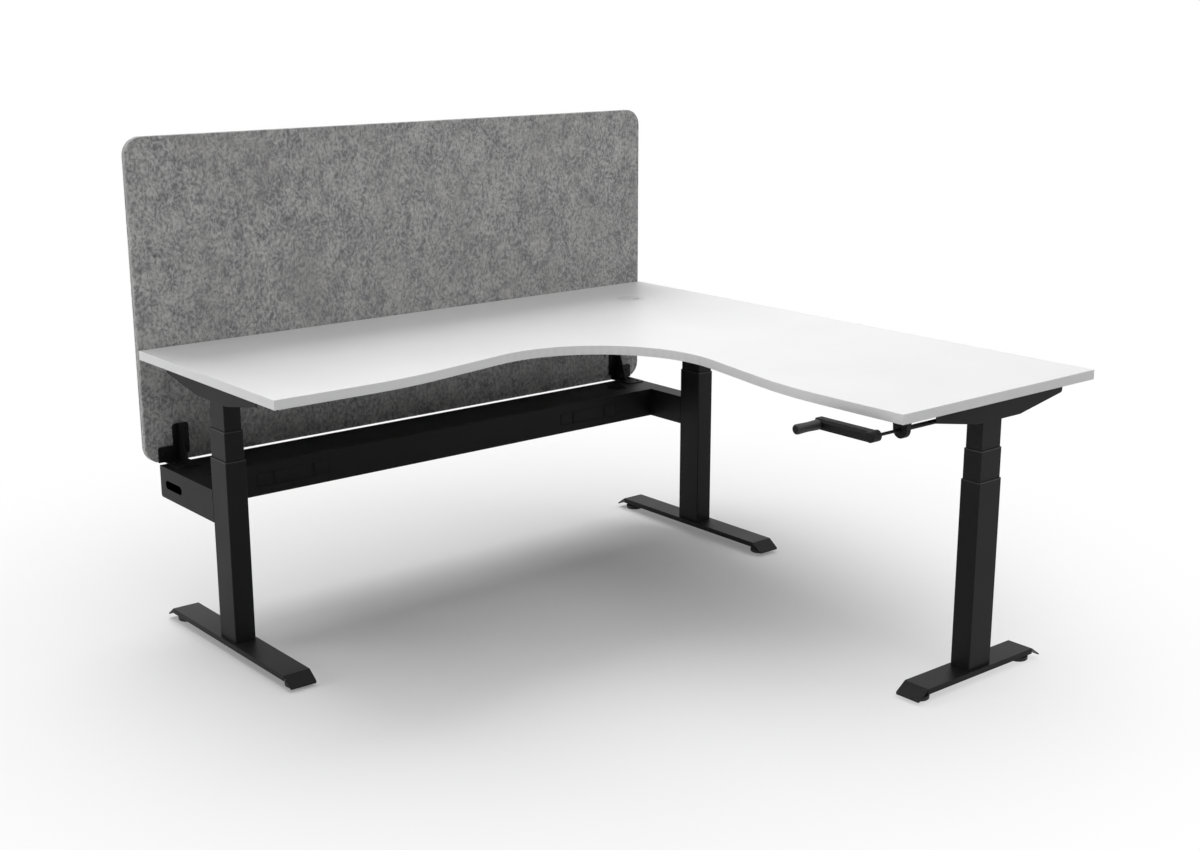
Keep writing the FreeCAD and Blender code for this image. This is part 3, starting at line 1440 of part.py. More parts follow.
def frame_screws():
    """Screws through the brackets into the screen and the tray's lid."""
    body = new_body("frame_screws")
    seat = "(%s - Dims.bracket_sheet)" % SCREEN_FACE
    heads = sketch_on(body, "XZ_Plane", "-%s" % seat)
    tips = "(%s + Dims.screw_length)" % seat
    shanks = sketch_on(body, "XZ_Plane", "-%s" % tips)
    for side in ("-1", "1"):
        for across, up in screen_screw_spots(side):
            circle(heads, across, up, "Dims.screw_head_radius")
            circle(shanks, across, up, "Dims.screw_radius")
    pad(body, heads, "Dims.screw_head_height")
    pad(body, shanks, "Dims.screw_length")
    top = "(Dims.tray_top + Dims.bracket_sheet)"
    low = "(%s - Dims.screw_length)" % top
    heads = sketch_on(body, "XY_Plane", top)
    shanks = sketch_on(body, "XY_Plane", low)
    for across, along in bracket_base_screws():
        circle(heads, across, along, "Dims.screw_head_radius")
        circle(shanks, across, along, "Dims.screw_radius")
    pad(body, heads, "Dims.screw_head_height")
    pad(body, shanks, "Dims.screw_length")


def legs():
    """Three telescopic legs with their feet, glides, columns, spindles and arms."""
    for leg in LEGS:
        leg_foot(leg)
        levelling_glide(leg, "front", "-")
        levelling_glide(leg, "rear", "")
        outer_length = "Dims.outer_top - Dims.collar_height - Dims.foot_height"
        column_stage(leg + "_outer_column", leg, "0", "Dims.foot_height", outer_length)
        middle_low = "Dims.middle_top - Dims.middle_column_length"
        middle_length = "Dims.middle_column_length - Dims.collar_height"
        column_stage(leg + "_middle_column", leg, "1", middle_low, middle_length)
        inner_low = "%s - Dims.inner_column_length" % GEARBOX_LOW
        column_stage(leg + "_inner_column", leg, "2", inner_low, "Dims.inner_column_length")
        middle_collar(leg)
        screw_tube(leg)
        lift_screw(leg)
        leg_arm(leg)
        leg_gearbox(leg)
    outer_collars()
    base_nut_tubes()


def crank():
    """The crank with its rod, its grip and the bearing under the board."""
    crank_arm()
    crank_rod()
    grip_pin()
    crank_grip()
    crank_bearing()


def tray():
    """The cable tray with its lid, its returns to the columns and its knock-outs."""
    cable_tray()
    tray_lid()
    knockout_covers()
    tray_return("left_return", TRAY_LEFT, "-1")
    tray_return("corner_return", TRAY_RIGHT, "1")


def check_and_export():
    """Stop on any failed feature or bad solid, then write one STEP file for each sub-part."""
    doc.recompute()
    for item in doc.Objects:
        if "Invalid" in item.State or "Error" in item.State:
            raise RuntimeError(item.Name + " failed: " + str(item.State))
    for piece in pieces:
        if piece.Shape.isNull() or not piece.Shape.isValid():
            raise RuntimeError(piece.Label + " has no valid solid")
    os.makedirs("parts", exist_ok=True)
    for piece in pieces:
        piece.Shape.exportStep("parts/%s.step" % piece.Label)
    print(len(pieces), "sub-parts written")


fill_sheet()
legs()
rails()
drive_shafts()
junction_gearbox()
crank()
work_surface()
board_screws()
cable_port()
tray()
screen_bracket("left_screen_bracket", "-1")
screen_bracket("right_screen_bracket", "1")
screen()
frame_screws()
check_and_export()
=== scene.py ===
"""A corner workstation with a crank-driven lift, dressed for a plain pale studio.

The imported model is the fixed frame. The operators below give each of its pieces a finish, put
the felt, the edge band, the grip, the knock-out covers and the screws in their true shapes, and
set up the studio.
Lengths are in metres, in the row frame: +X along the screen, +Y towards it, +Z up.
"""
import math

import bpy
import numpy as np
from bpy.props import FloatProperty, FloatVectorProperty, PointerProperty
from mathutils import Matrix, Vector


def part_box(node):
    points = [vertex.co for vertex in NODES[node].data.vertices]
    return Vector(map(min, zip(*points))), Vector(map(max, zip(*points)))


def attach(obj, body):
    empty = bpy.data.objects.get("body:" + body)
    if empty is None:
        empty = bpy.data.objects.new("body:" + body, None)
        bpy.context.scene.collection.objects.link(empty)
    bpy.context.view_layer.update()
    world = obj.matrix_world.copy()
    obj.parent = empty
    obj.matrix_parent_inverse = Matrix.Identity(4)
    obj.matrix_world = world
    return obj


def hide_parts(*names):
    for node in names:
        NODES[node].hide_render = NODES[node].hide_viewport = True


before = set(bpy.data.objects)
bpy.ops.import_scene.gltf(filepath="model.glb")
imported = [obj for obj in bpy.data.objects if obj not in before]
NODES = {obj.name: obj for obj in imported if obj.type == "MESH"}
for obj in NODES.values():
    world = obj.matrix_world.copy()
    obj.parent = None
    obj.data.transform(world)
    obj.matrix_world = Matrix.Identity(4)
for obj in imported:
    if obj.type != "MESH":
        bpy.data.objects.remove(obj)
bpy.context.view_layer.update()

bl_info = {
    "name": "Corner Workstation",
    "version": (1, 0, 0),
    "blender": (4, 5, 0),
    "location": "3D View > Sidebar > Workstation",
    "description": "Finishes and soft forms for a crank-driven corner workstation",
    "category": "Object",
}

LEGS = ("left", "corner", "right")
SHARP_ANGLE = math.radians(35)
CROWN_REACH = 0.25
CROWN_SHARES = (1.0, 0.72, 0.45, 0.22, 0.08)


def corners_of(node):
    """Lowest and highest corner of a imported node, as arrays."""
    low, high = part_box(node)
    return np.array(low), np.array(high)


# Node materials


class Recipe:
    """A node tree that grows by short calls, each of which returns an output socket."""

    def __init__(self, name):
        self.material = bpy.data.materials.new(name)
        self.material.use_nodes = True
        self.tree = self.material.node_tree
        self.tree.nodes.clear()
        self.out = self.tree.nodes.new("ShaderNodeOutputMaterial")
        self.place = self.tree.nodes.new("ShaderNodeTexCoord").outputs["Object"]

    def add(self, kind, inputs=None, **settings):
        """A node with some settings, and its inputs linked or set."""
        node = self.tree.nodes.new(kind)
        for key, setting in settings.items():
            setattr(node, key, setting)
        for key, given in (inputs or {}).items():
            socket = node.inputs[key]
            if isinstance(given, bpy.types.NodeSocket):
                self.tree.links.new(given, socket)
            else:
                socket.default_value = given
        return node

    def stretched(self, scale, turn=(0.0, 0.0, 0.0), source=None):
        """Object coordinates, scaled and turned."""
        node = self.add("ShaderNodeMapping", {"Vector": source or self.place})
        node.inputs["Scale"].default_value = scale
        node.inputs["Rotation"].default_value = turn
        return node.outputs["Vector"]

    def noise(self, scale, detail=3.0, rough=0.5, vector=None):
        """Fractal noise from 0 to 1."""
        node = self.add("ShaderNodeTexNoise", {
            "Vector": vector or self.place,
            "Scale": scale,
            "Detail": detail,
            "Roughness": rough,
        })
        return node.outputs["Fac"]

    def cells(self, scale, vector=None):
        """Distance to the nearest of many scattered points, in cells."""
        node = self.add("ShaderNodeTexVoronoi", {"Vector": vector or self.place, "Scale": scale})
        return node.outputs["Distance"]

    def levels(self, source, low, high, start=0.0, end=1.0):
        """A value carried from one range to another and held at its ends."""
        node = self.add("ShaderNodeMapRange", {
            "Value": source,
            "From Min": low,
            "From Max": high,
            "To Min": start,
            "To Max": end,
        })
        return node.outputs["Result"]

    def maths(self, operation, first, second=0.0):
        """One sum on two values."""
        node = self.add("ShaderNodeMath", {0: first, 1: second}, operation=operation)
        return node.outputs["Value"]

    def colours(self, amount, first, second):
        """A colour between two colours."""
        node = self.add("ShaderNodeMix", {"Factor": amount}, data_type="RGBA")
        for key, given in (("A", first), ("B", second)):
            socket = [item for item in node.inputs if item.name == key and item.type == "RGBA"][0]
            if isinstance(given, bpy.types.NodeSocket):
                self.tree.links.new(given, socket)
            else:
                socket.default_value = tuple(given)[:3] + (1.0,)
        return [item for item in node.outputs if item.type == "RGBA"][0]

    def bump(self, height, distance, strength=1.0):
        """A relief of a given depth in metres."""
        inputs = {"Height": height, "Distance": distance, "Strength": strength}
        return self.add("ShaderNodeBump", inputs).outputs["Normal"]

    def surface(self, colour, rough, normal, **fixed):
        """The shader itself, joined to the output."""
        shader = self.add("ShaderNodeBsdfPrincipled")
        for key, given in (("Base Color", colour), ("Roughness", rough), ("Normal", normal)):
            if isinstance(given, bpy.types.NodeSocket):
                self.tree.links.new(given, shader.inputs[key])
            elif key == "Base Color":
                shader.inputs[key].default_value = tuple(given)[:3] + (1.0,)
            else:
                shader.inputs[key].default_value = given
        for key, given in fixed.items():
            shader.inputs[key.replace("_", " ")].default_value = given
        self.tree.links.new(shader.outputs["BSDF"], self.out.inputs["Surface"])
        return self.material


def powder_coat(look):
    """Black powder coat: a fine pebbled skin, a little greyer where the powder is thin."""
    mix = Recipe("powder_coat")
    pebbles = mix.noise(look.grain, detail=2.0, rough=0.55)
    clouds = mix.noise(5.0, detail=3.0)
    tone = tuple(look.colour)
    paler = tuple(channel * 1.3 + 0.001 for channel in tone)
    colour = mix.colours(mix.levels(clouds, 0.3, 0.75), tone, paler)
    dust = mix.levels(mix.cells(look.grain * 0.5), 0.0, 0.16, 1.0, 0.0)
    colour = mix.colours(mix.maths("MULTIPLY", dust, 0.08), colour, (0.06, 0.06, 0.06))
    rough = mix.levels(clouds, 0.25, 0.8, look.rough - 0.05, look.rough + 0.06)
    return mix.surface(colour, rough, mix.bump(pebbles, look.relief), Specular_IOR_Level=0.14)


def melamine(look, name, colour, relief=1.0):
    """White melamine: a close pearled skin with the faintest mottle."""
    mix = Recipe(name)
    pearls = mix.noise(900.0, detail=2.0, rough=0.6)
    clouds = mix.noise(3.0, detail=4.0)
    shade = tuple(channel * 0.965 for channel in colour)
    tone = mix.colours(mix.levels(clouds, 0.35, 0.7), tuple(colour), shade)
    rough = mix.levels(pearls, 0.3, 0.7, look.rough - 0.04, look.rough + 0.05)
    height = mix.maths("MULTIPLY", pearls, relief)
    return mix.surface(tone, rough, mix.bump(height, 0.00006), Specular_IOR_Level=0.8)


def felt(look, name, turn=0.0):
    """Pressed felt: pale and dark fibres laid in all directions over soft blots."""
    mix = Recipe(name)
    spin = mix.stretched((1.0, 1.0, look.upright), (0.0, turn, 0.0))
    sway = mix.add("ShaderNodeTexNoise", {"Vector": spin, "Scale": 26.0, "Detail": 2.0})
    drift = mix.add("ShaderNodeVectorMath", {0: sway.outputs["Color"], 1: (0.5, 0.5, 0.5)},
                    operation="SUBTRACT").outputs["Vector"]
    drift = mix.add("ShaderNodeVectorMath", {0: drift, "Scale": 0.03},
                    operation="SCALE").outputs["Vector"]
    bent = mix.add("ShaderNodeVectorMath", {0: spin, 1: drift}, operation="ADD").outputs["Vector"]
    strands = None
    for angle, scale in ((0.35, 1.0), (1.45, 1.2), (2.5, 0.9)):
        line = mix.stretched((165.0 * scale, 80.0, 715.0 * scale), (0.0, angle, 0.0), bent)
        hair = mix.noise(1.0, detail=3.0, rough=0.6, vector=line)
        strands = hair if strands is None else mix.maths("MINIMUM", strands, hair)
    blots = mix.noise(look.blot, detail=6.0, rough=0.62, vector=bent)
    clouds = mix.noise(7.0, detail=2.0, vector=spin)
    swells = mix.noise(24.0, detail=3.0, rough=0.6, vector=spin)
    fuzz = mix.noise(700.0, detail=3.0, rough=0.75, vector=spin)
    specks = mix.cells(look.specks, vector=bent)
    dark = mix.levels(strands, 0.30, 0.41, 1.0, 0.0)
    depth = mix.maths("ADD", blots, mix.maths("MULTIPLY", swells, 0.38))
    depth = mix.levels(depth, 0.55, 0.83, 0.0, 1.0)
    colour = mix.colours(depth, look.dark, look.light)
    colour = mix.colours(mix.maths("MULTIPLY", dark, 0.62), colour, look.strand)
    warm = mix.levels(clouds, 0.45, 0.75, 0.0, 0.35)
    colour = mix.colours(warm, colour, look.warm)
    lint = mix.levels(fuzz, 0.36, 0.64, 0.0, 0.36)
    colour = mix.colours(lint, colour, look.light)
    colour = mix.colours(mix.levels(specks, 0.015, 0.05, 0.6, 0.0), colour, look.strand)
    height = mix.maths("ADD", mix.maths("MULTIPLY", blots, 0.7),
                       mix.maths("MULTIPLY", fuzz, 0.5))
    height = mix.maths("SUBTRACT", height, mix.maths("MULTIPLY", dark, 0.25))
    return mix.surface(colour, 0.95, mix.bump(height, 0.0011, 0.8),
                       Specular_IOR_Level=0.12, Sheen_Weight=0.22, Sheen_Roughness=0.6)


def moulded(name, colour, rough):
    """Moulded plastic: an even spark-eroded grain."""
    mix = Recipe(name)
    grit = mix.noise(700.0, detail=2.0, rough=0.6)
    clouds = mix.noise(14.0, detail=2.0)
    shade = tuple(channel * 0.88 for channel in colour)
    tone = mix.colours(mix.levels(clouds, 0.3, 0.75), tuple(colour), shade)
    sheen = mix.levels(grit, 0.3, 0.7, rough - 0.05, rough + 0.06)
    return mix.surface(tone, sheen, mix.bump(grit, 0.00005), Specular_IOR_Level=0.4)


def plated(look):
    """Zinc-plated steel: fine drawn lines and a slightly cloudy shine."""
    mix = Recipe("zinc_steel")
    lines = mix.noise(1.0, detail=3.0, vector=mix.stretched((600.0, 600.0, 60.0)))
    clouds = mix.noise(30.0, detail=3.0)
    tone = mix.colours(mix.levels(clouds, 0.3, 0.75), tuple(look.zinc), (0.42, 0.42, 0.40))
    rough = mix.levels(lines, 0.3, 0.7, 0.24, 0.42)
    return mix.surface(tone, rough, mix.bump(lines, 0.00003), Metallic=1.0)


def cast(look):
    """Cast housing: a dull grain with darker clouds."""
    mix = Recipe("cast_housing")
    grain = mix.noise(320.0, detail=5.0, rough=0.65)
    clouds = mix.noise(22.0, detail=2.0)
    tone = mix.colours(mix.levels(clouds, 0.3, 0.7), tuple(look.casting), (0.17, 0.17, 0.175))
    return mix.surface(tone, mix.levels(grain, 0.3, 0.7, 0.5, 0.68),
                       mix.bump(grain, 0.0003), Metallic=0.85)


def board_core(look):
    """Pale stiff core of the screen: cut edges of a light fibre sheet."""
    mix = Recipe("screen_core_sheet")
    fibre = mix.noise(260.0, detail=4.0, rough=0.65)
    tone = mix.colours(mix.levels(fibre, 0.3, 0.7), tuple(look.core), (0.50, 0.49, 0.47))
    return mix.surface(tone, 0.8, mix.bump(fibre, 0.0003))


def finish_node(names, material):
    """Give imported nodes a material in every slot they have."""
    for name in names:
        piece = NODES[name]
        if not piece.material_slots:
            piece.data.materials.append(material)
        for place in piece.material_slots:
            place.material = material


# Surfaces on grids


def sheet_faces(rows, columns, closed_rows=False):
    """Quads that join a grid whose columns run right round, and its rows where they close."""
    row_count = rows if closed_rows else rows - 1
    i, j = np.meshgrid(np.arange(row_count), np.arange(columns), indexing="ij")
    i, j = i.ravel(), j.ravel()
    after_i, after_j = (i + 1) % rows, (j + 1) % columns
    return np.stack([i * columns + j, i * columns + after_j,
                     after_i * columns + after_j, after_i * columns + j], axis=1)


def make_piece(name, points, quads, polygons=(), smooth=True):
    """A mesh object at the origin from arrays of points and faces."""
    mesh = bpy.data.meshes.new(name)
    faces = [tuple(int(n) for n in face) for face in quads] + [tuple(p) for p in polygons]
    mesh.from_pydata([tuple(p) for p in np.asarray(points, float).reshape(-1, 3)], [], faces)
    mesh.validate()
    mesh.update()
    piece = bpy.data.objects.new(name, mesh)
    bpy.context.scene.collection.objects.link(piece)
    if smooth:
        mesh.polygons.foreach_set("use_smooth", [True] * len(mesh.polygons))
        mesh.set_sharp_from_angle(angle=SHARP_ANGLE)
    return piece


def rounded_rectangle(half_width, half_height, radius, steps):
    """Points round a rectangle with round corners, anticlockwise from its lower right side.

    Each corner is a quarter circle of steps + 1 points about a centre one radius inside both
    sides, so insets of one outline have matching points.
    """
    quarter = np.linspace(-math.pi / 2, 0.0, steps + 1)
    parts = []
    for number, (right, up) in enumerate(((1, -1), (1, 1), (-1, 1), (-1, -1))):
        angle = quarter + number * math.pi / 2
        centre = np.array([right * (half_width - radius), up * (half_height - radius)])
        parts.append(centre + radius * np.stack([np.cos(angle), np.sin(angle)], axis=1))
    return np.concatenate(parts)


def felt_slab(name, node, front_round, back_round, crown):
    """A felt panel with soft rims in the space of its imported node.

    The rim's profile is two quarter circles joined by a straight side, carried round the
    screen's outline. Each face then runs inwards in five rings that rise by
    crown * sin(share * pi / 2), at CROWN_SHARES of CROWN_REACH from the rim, so the felt is a
    little fuller in its middle.
    """
    low, high = corners_of(node)
    half_width, half_height = (high[0] - low[0]) / 2, (high[2] - low[2]) / 2
    middle = (low + high) / 2
    outer = scene_settings().felt.corner
    turn = np.linspace(0.0, math.pi / 2, 6)
    insets, depths = [], []
    for share in CROWN_SHARES:
        insets.append(front_round + share * CROWN_REACH)
        depths.append(low[1] + crown * (1 - math.sin(share * math.pi / 2)))
    insets += list(front_round * (1 - np.sin(turn)))
    depths += list(low[1] + crown + front_round * (1 - np.cos(turn)))
    insets += list(back_round * (1 - np.cos(turn)))
    depths += list(high[1] - crown - back_round * (1 - np.sin(turn)))
    for share in reversed(CROWN_SHARES):
        insets.append(back_round + share * CROWN_REACH)
        depths.append(high[1] - crown * (1 - math.sin(share * math.pi / 2)))
    rings = []
    for inset, depth in zip(insets, depths):
        flat = rounded_rectangle(half_width - inset, half_height - inset,
                                 max(outer - inset, 0.004), 12)
        rings.append(np.stack([middle[0] + flat[:, 0], np.full(len(flat), depth),
                               middle[2] + flat[:, 1]], axis=1))
    points = np.stack(rings)
    rows, columns = points.shape[:2]
    caps = [tuple(range(columns)), tuple(reversed(range((rows - 1) * columns, rows * columns)))]
    return make_piece(name, points, sheet_faces(rows, columns)[:, ::-1], caps)


def board_outline(board, step=math.radians(1.5)):
    """The work surface's edge as seen from above, anticlockwise from its rear right corner.

    The front edge is a straight line, an arc of the blend radius, a straight slope and then
    part of the corner circle, whose centre lies on the diagonal. The side wing's edge is the
    same curve with X and Y changed over.
    """
    tilt = board.slope
    centre = np.full(2, -(board.waist + board.inner_radius))
    lean = np.array([math.sin(tilt), math.cos(tilt)])
    leave = centre + board.inner_radius * lean * (-1, 1)
    rise = leave[1] + board.wing - board.blend_radius * (1 - lean[1])
    reach = leave[0] - rise * lean[1] / lean[0] - board.blend_radius * lean[0]
    blend_centre = np.array([reach, board.blend_radius - board.wing])
    count = max(int(tilt / step) + 2, 8)
    swing = np.linspace(0.0, tilt, count)
    blend = blend_centre + board.blend_radius * np.stack([np.sin(swing), -np.cos(swing)], axis=1)
    sweep = np.linspace(math.pi / 2 + tilt, -tilt, int((math.pi / 2 + 2 * tilt) / step))
    corner = centre + board.inner_radius * np.stack([np.cos(sweep), np.sin(sweep)], axis=1)
    far = blend[::-1, ::-1]
    ends = np.array([[0.0, 0.0], [-board.wide, 0.0], [-board.wide, -board.wing]])
    last = np.array([[-board.wing, -board.deep], [0.0, -board.deep]])
    return np.concatenate([ends, blend, corner, far, last])


def inward_offsets(path):
    """For a closed path, the step inwards at each point that keeps a band's width constant."""
    ahead = np.roll(path, -1, axis=0) - path
    ahead /= np.linalg.norm(ahead, axis=1, keepdims=True)
    behind = np.roll(ahead, 1, axis=0)
    left = np.stack([-ahead[:, 1], ahead[:, 0]], axis=1)
    left_behind = np.stack([-behind[:, 1], behind[:, 0]], axis=1)
    middle = left + left_behind
    return middle / (1.0 + np.sum(left * left_behind, axis=1, keepdims=True))


def edge_band(board):
    """The 2 mm edge band: a flat strip with softened arrises, carried round the board."""
    low, high = corners_of("work_surface")
    path = board_outline(board) + np.array([high[0], high[1]])
    inward = inward_offsets(path)
    proud, thick, soft = board.band_proud, board.band, board.arris
    turn = np.linspace(0.0, math.pi / 2, 5)
    bottom, top = low[2] - proud, high[2] + proud
    insets = np.concatenate([[thick], soft * (1 - np.sin(turn)), soft * (1 - np.cos(turn)),
                             [thick]]) - proud
    heights = np.concatenate([[bottom], bottom + soft * (1 - np.cos(turn)),
                              top - soft * (1 - np.sin(turn)), [top]])
    ring = path[None] + inward[None] * insets[:, None, None]
    level = np.broadcast_to(heights[:, None, None], ring.shape[:2] + (1,))
    points = np.concatenate([ring, level], axis=2)
    rows, columns = points.shape[:2]
    return make_piece("edge_band", points, sheet_faces(rows, columns, closed_rows=True))


def lathe(profile, origin, along, count):
    """A profile of (distance along, radius) turned about a line, as rows of a grid."""
    along = np.asarray(along, float)
    aside = np.array([0.0, 0.0, 1.0]) if abs(along[2]) < 0.5 else np.array([1.0, 0.0, 0.0])
    aside = np.cross(along, aside)
    other = np.cross(along, aside)
    angle = np.linspace(0.0, 2 * math.pi, count, endpoint=False)
    profile = np.asarray(profile, float)
    spoke = np.cos(angle)[:, None] * aside + np.sin(angle)[:, None] * other
    return (np.asarray(origin) + profile[:, 0, None, None] * along
            + profile[:, 1, None, None] * spoke)


def grip_sleeve(grip):
    """The crank's sleeve: r = R - waist * sin(pi * t) ** 2 along its length, with round ends.

    t runs from 0 at the crank's bar to 1 at the free end. The bore and the recess for the
    pin's head are the last rows, so the sleeve is one closed skin.
    """
    low, high = corners_of("crank_grip")
    radius = (high[2] - low[2]) / 2
    axis_y, axis_z = (low[1] + high[1]) / 2, (low[2] + high[2]) / 2
    length = high[0] - low[0]
    turn = np.linspace(0.0, math.pi / 2, 7)
    soft = grip.end_round
    start = np.stack([soft * (1 - np.cos(turn)), radius - soft * (1 - np.sin(turn))], axis=1)
    share = np.linspace(0.0, 1.0, 25)[1:-1]
    body = np.stack([soft + share * (length - 2 * soft),
                     radius - grip.waist * np.sin(math.pi * share) ** 2], axis=1)
    end = np.stack([length - soft * (1 - np.sin(turn)), radius - soft * (1 - np.cos(turn))],
                   axis=1)
    inside = np.array([[length, grip.recess], [length - grip.recess_depth, grip.recess],
                       [length - grip.recess_depth, grip.bore], [0.0, grip.bore]])
    profile = np.concatenate([start, body, end, inside])
    points = lathe(profile, (high[0], axis_y, axis_z), (-1.0, 0.0, 0.0), 48)
    return make_piece("grip_sleeve", points, sheet_faces(*points.shape[:2], closed_rows=True))


def solids_in(node):
    """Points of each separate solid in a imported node's mesh.

    Points that lie together are merged. Every triangle then hands the lowest number among its
    corners to all three, until nothing changes and each solid has one number.
    """
    mesh = NODES[node].data
    spots = np.empty(len(mesh.vertices) * 3)
    mesh.vertices.foreach_get("co", spots)
    corners = np.empty(len(mesh.loops), dtype=np.int64)
    mesh.loops.foreach_get("vertex_index", corners)
    merged, number = np.unique(np.round(spots.reshape(-1, 3), 5), axis=0, return_inverse=True)
    triangles = number.ravel()[corners].reshape(-1, 3)
    label, before = np.arange(len(merged)), None
    while before is None or (label != before).any():
        before = label.copy()
        np.minimum.at(label, triangles, before[triangles].min(axis=1)[:, None])
    return [merged[label == one] for one in np.unique(label)]


def screw_measures(points):
    """Seat, outward direction, head radius, head height, shank radius and length of a screw."""
    low, high = points.min(axis=0), points.max(axis=0)
    along = int(np.argmax(high - low))
    middle = (low + high) / 2
    wide = np.linalg.norm(np.delete(points - middle, along, axis=1), axis=1)
    level = points[:, along]
    at_high = wide[level > high[along] - 1e-5].max() > wide[level < low[along] + 1e-5].max()
    sign, top, tip = (1.0, high, low) if at_high else (-1.0, low, high)
    inner = level[(wide > wide.max() - 1e-4) & (np.abs(level - top[along]) > 1e-4)]
    seat = middle.copy()
    seat[along] = inner[0]
    outwards = np.zeros(3)
    outwards[along] = sign
    shank = wide[np.abs(level - tip[along]) < 1e-5].max()
    return (seat, outwards, wide.max(), abs(top[along] - inner[0]), shank,
            abs(inner[0] - tip[along]))


def socket_screws(name, node):
    """Button-head screws with a six-sided socket, in the places of a node's plain screws.

    A head's rows run from the seat up a dome, then from its circle to the hexagon
    a / cos(angle from the nearest flat), down its wall and to the middle of its floor. The
    shank is a plain lathe with a short point.
    """
    count = 24
    angle = np.linspace(0.0, 2 * math.pi, count, endpoint=False)
    flat = (angle + math.pi / 6) % (math.pi / 3) - math.pi / 6
    steep = 0.62 * math.pi / 2
    dome = np.linspace(0.0, steep, 6)
    grid, faces, caps, start = [], [], [], 0
    for points in solids_in(node):
        seat, outwards, radius, height, shank, length = screw_measures(points)
        hexagon = radius * 0.42 / np.cos(flat)
        rows = [(-length, np.full(count, shank * 0.6)),
                (shank * 0.5 - length, np.full(count, shank)),
                (0.0, np.full(count, shank)), (0.0, np.full(count, radius))]
        rows += [(height * (0.3 + 0.7 * math.sin(a) / math.sin(steep)),
                  np.full(count, radius * math.cos(a))) for a in dome]
        rows += [(height, hexagon), (height * 0.3, hexagon)]
        aside = np.roll(np.abs(outwards), 1)
        spoke = (np.cos(angle)[:, None] * aside
                 + np.sin(angle)[:, None] * np.cross(outwards, aside))
        block = np.stack([seat + far * outwards + wide[:, None] * spoke for far, wide in rows])
        grid.append(block.reshape(-1, 3))
        faces.append(sheet_faces(len(rows), count) + start)
        last = start + (len(rows) - 1) * count
        caps.append(tuple(reversed(range(start, start + count))))
        caps.append(tuple(range(last, last + count)))
        start += len(rows) * count
    return make_piece(name, np.concatenate(grid), np.concatenate(faces), caps)


def knockout_plates(look):
    """The tray's knock-out covers, each with a fine groove between its plate and the tray.

    A cover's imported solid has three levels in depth: plate, lap and back. The plate is drawn in
    by the groove's width and its rim rounded, and the lap behind keeps its size.
    """
    turn = np.linspace(0.0, math.pi / 2, 4)
    grid, faces, caps, start = [], [], [], 0
    for points in solids_in("knockout_covers"):
        front, lap, back = np.unique(np.round(points[:, 1], 4))
        low, high = points.min(axis=0), points.max(axis=0)
        face = points[points[:, 1] < front + 1e-4]
        middle = (low + high) / 2
        plate = (face.max(axis=0) - face.min(axis=0)) / 2 - look.groove
        behind = (high - low) / 2
        rings = [(plate - look.soft * (1 - math.sin(a)), front + look.soft * (1 - math.cos(a)))
                 for a in turn]
        rings += [(plate, lap), (behind, lap), (behind, back)]
        rows = []
        for half, depth in rings:
            flat = rounded_rectangle(half[0], half[2], 0.0015, 3)
            rows.append(np.stack([middle[0] + flat[:, 0], np.full(len(flat), depth),
                                  middle[2] + flat[:, 1]], axis=1))
        block = np.stack(rows)
        count = block.shape[1]
        grid.append(block.reshape(-1, 3))
        faces.append(sheet_faces(len(rows), count)[:, ::-1] + start)
        last = start + (len(rows) - 1) * count
        caps.append(tuple(range(start, start + count)))
        caps.append(tuple(reversed(range(last, last + count))))
        start += len(rows) * count
    return make_piece("knockout_plates", np.concatenate(grid), np.concatenate(faces), caps)


# Sizes and colours that a user may change


class FeltLook(bpy.types.PropertyGroup):
    """Fibres and rims of the screen's felt."""

    light: FloatVectorProperty(name="Pale fibres", description="Colour of the pale fibres",
                               subtype="COLOR", size=3, default=(0.60, 0.596, 0.588))
    dark: FloatVectorProperty(name="Grey ground", description="Colour between the pale fibres",
                              subtype="COLOR", size=3, default=(0.14, 0.14, 0.151))
    strand: FloatVectorProperty(name="Dark strands", description="Colour of the dark strands",
                                subtype="COLOR", size=3, default=(0.035, 0.035, 0.038))
    warm: FloatVectorProperty(name="Warm blots", description="Colour of the warmer blots",
                              subtype="COLOR", size=3, default=(0.30, 0.291, 0.283))
    core: FloatVectorProperty(name="Core", description="Colour of the screen's stiff core",
                              subtype="COLOR", size=3, default=(0.68, 0.67, 0.65))
    blot: FloatProperty(name="Blots per metre", description="How fine the blots are",
                        default=125.0, min=5.0)
    specks: FloatProperty(name="Specks per metre", description="How close the dark specks are",
                          default=8.0, min=1.0)
    upright: FloatProperty(name="Upright", description="Under 1, the fibres lie more up and down",
                           default=0.7, min=0.1)
    rim: FloatProperty(name="Rim", description="Roundness of the felt's rim",
                       default=0.003, min=0.0005, subtype="DISTANCE", unit="LENGTH")
    crown: FloatProperty(name="Crown", description="How much fuller a face is in its middle",
                         default=0.0004, min=0.0, subtype="DISTANCE", unit="LENGTH")
    corner: FloatProperty(name="Corner", description="Radius of the screen's corners",
                          default=0.05, min=0.005, subtype="DISTANCE", unit="LENGTH")


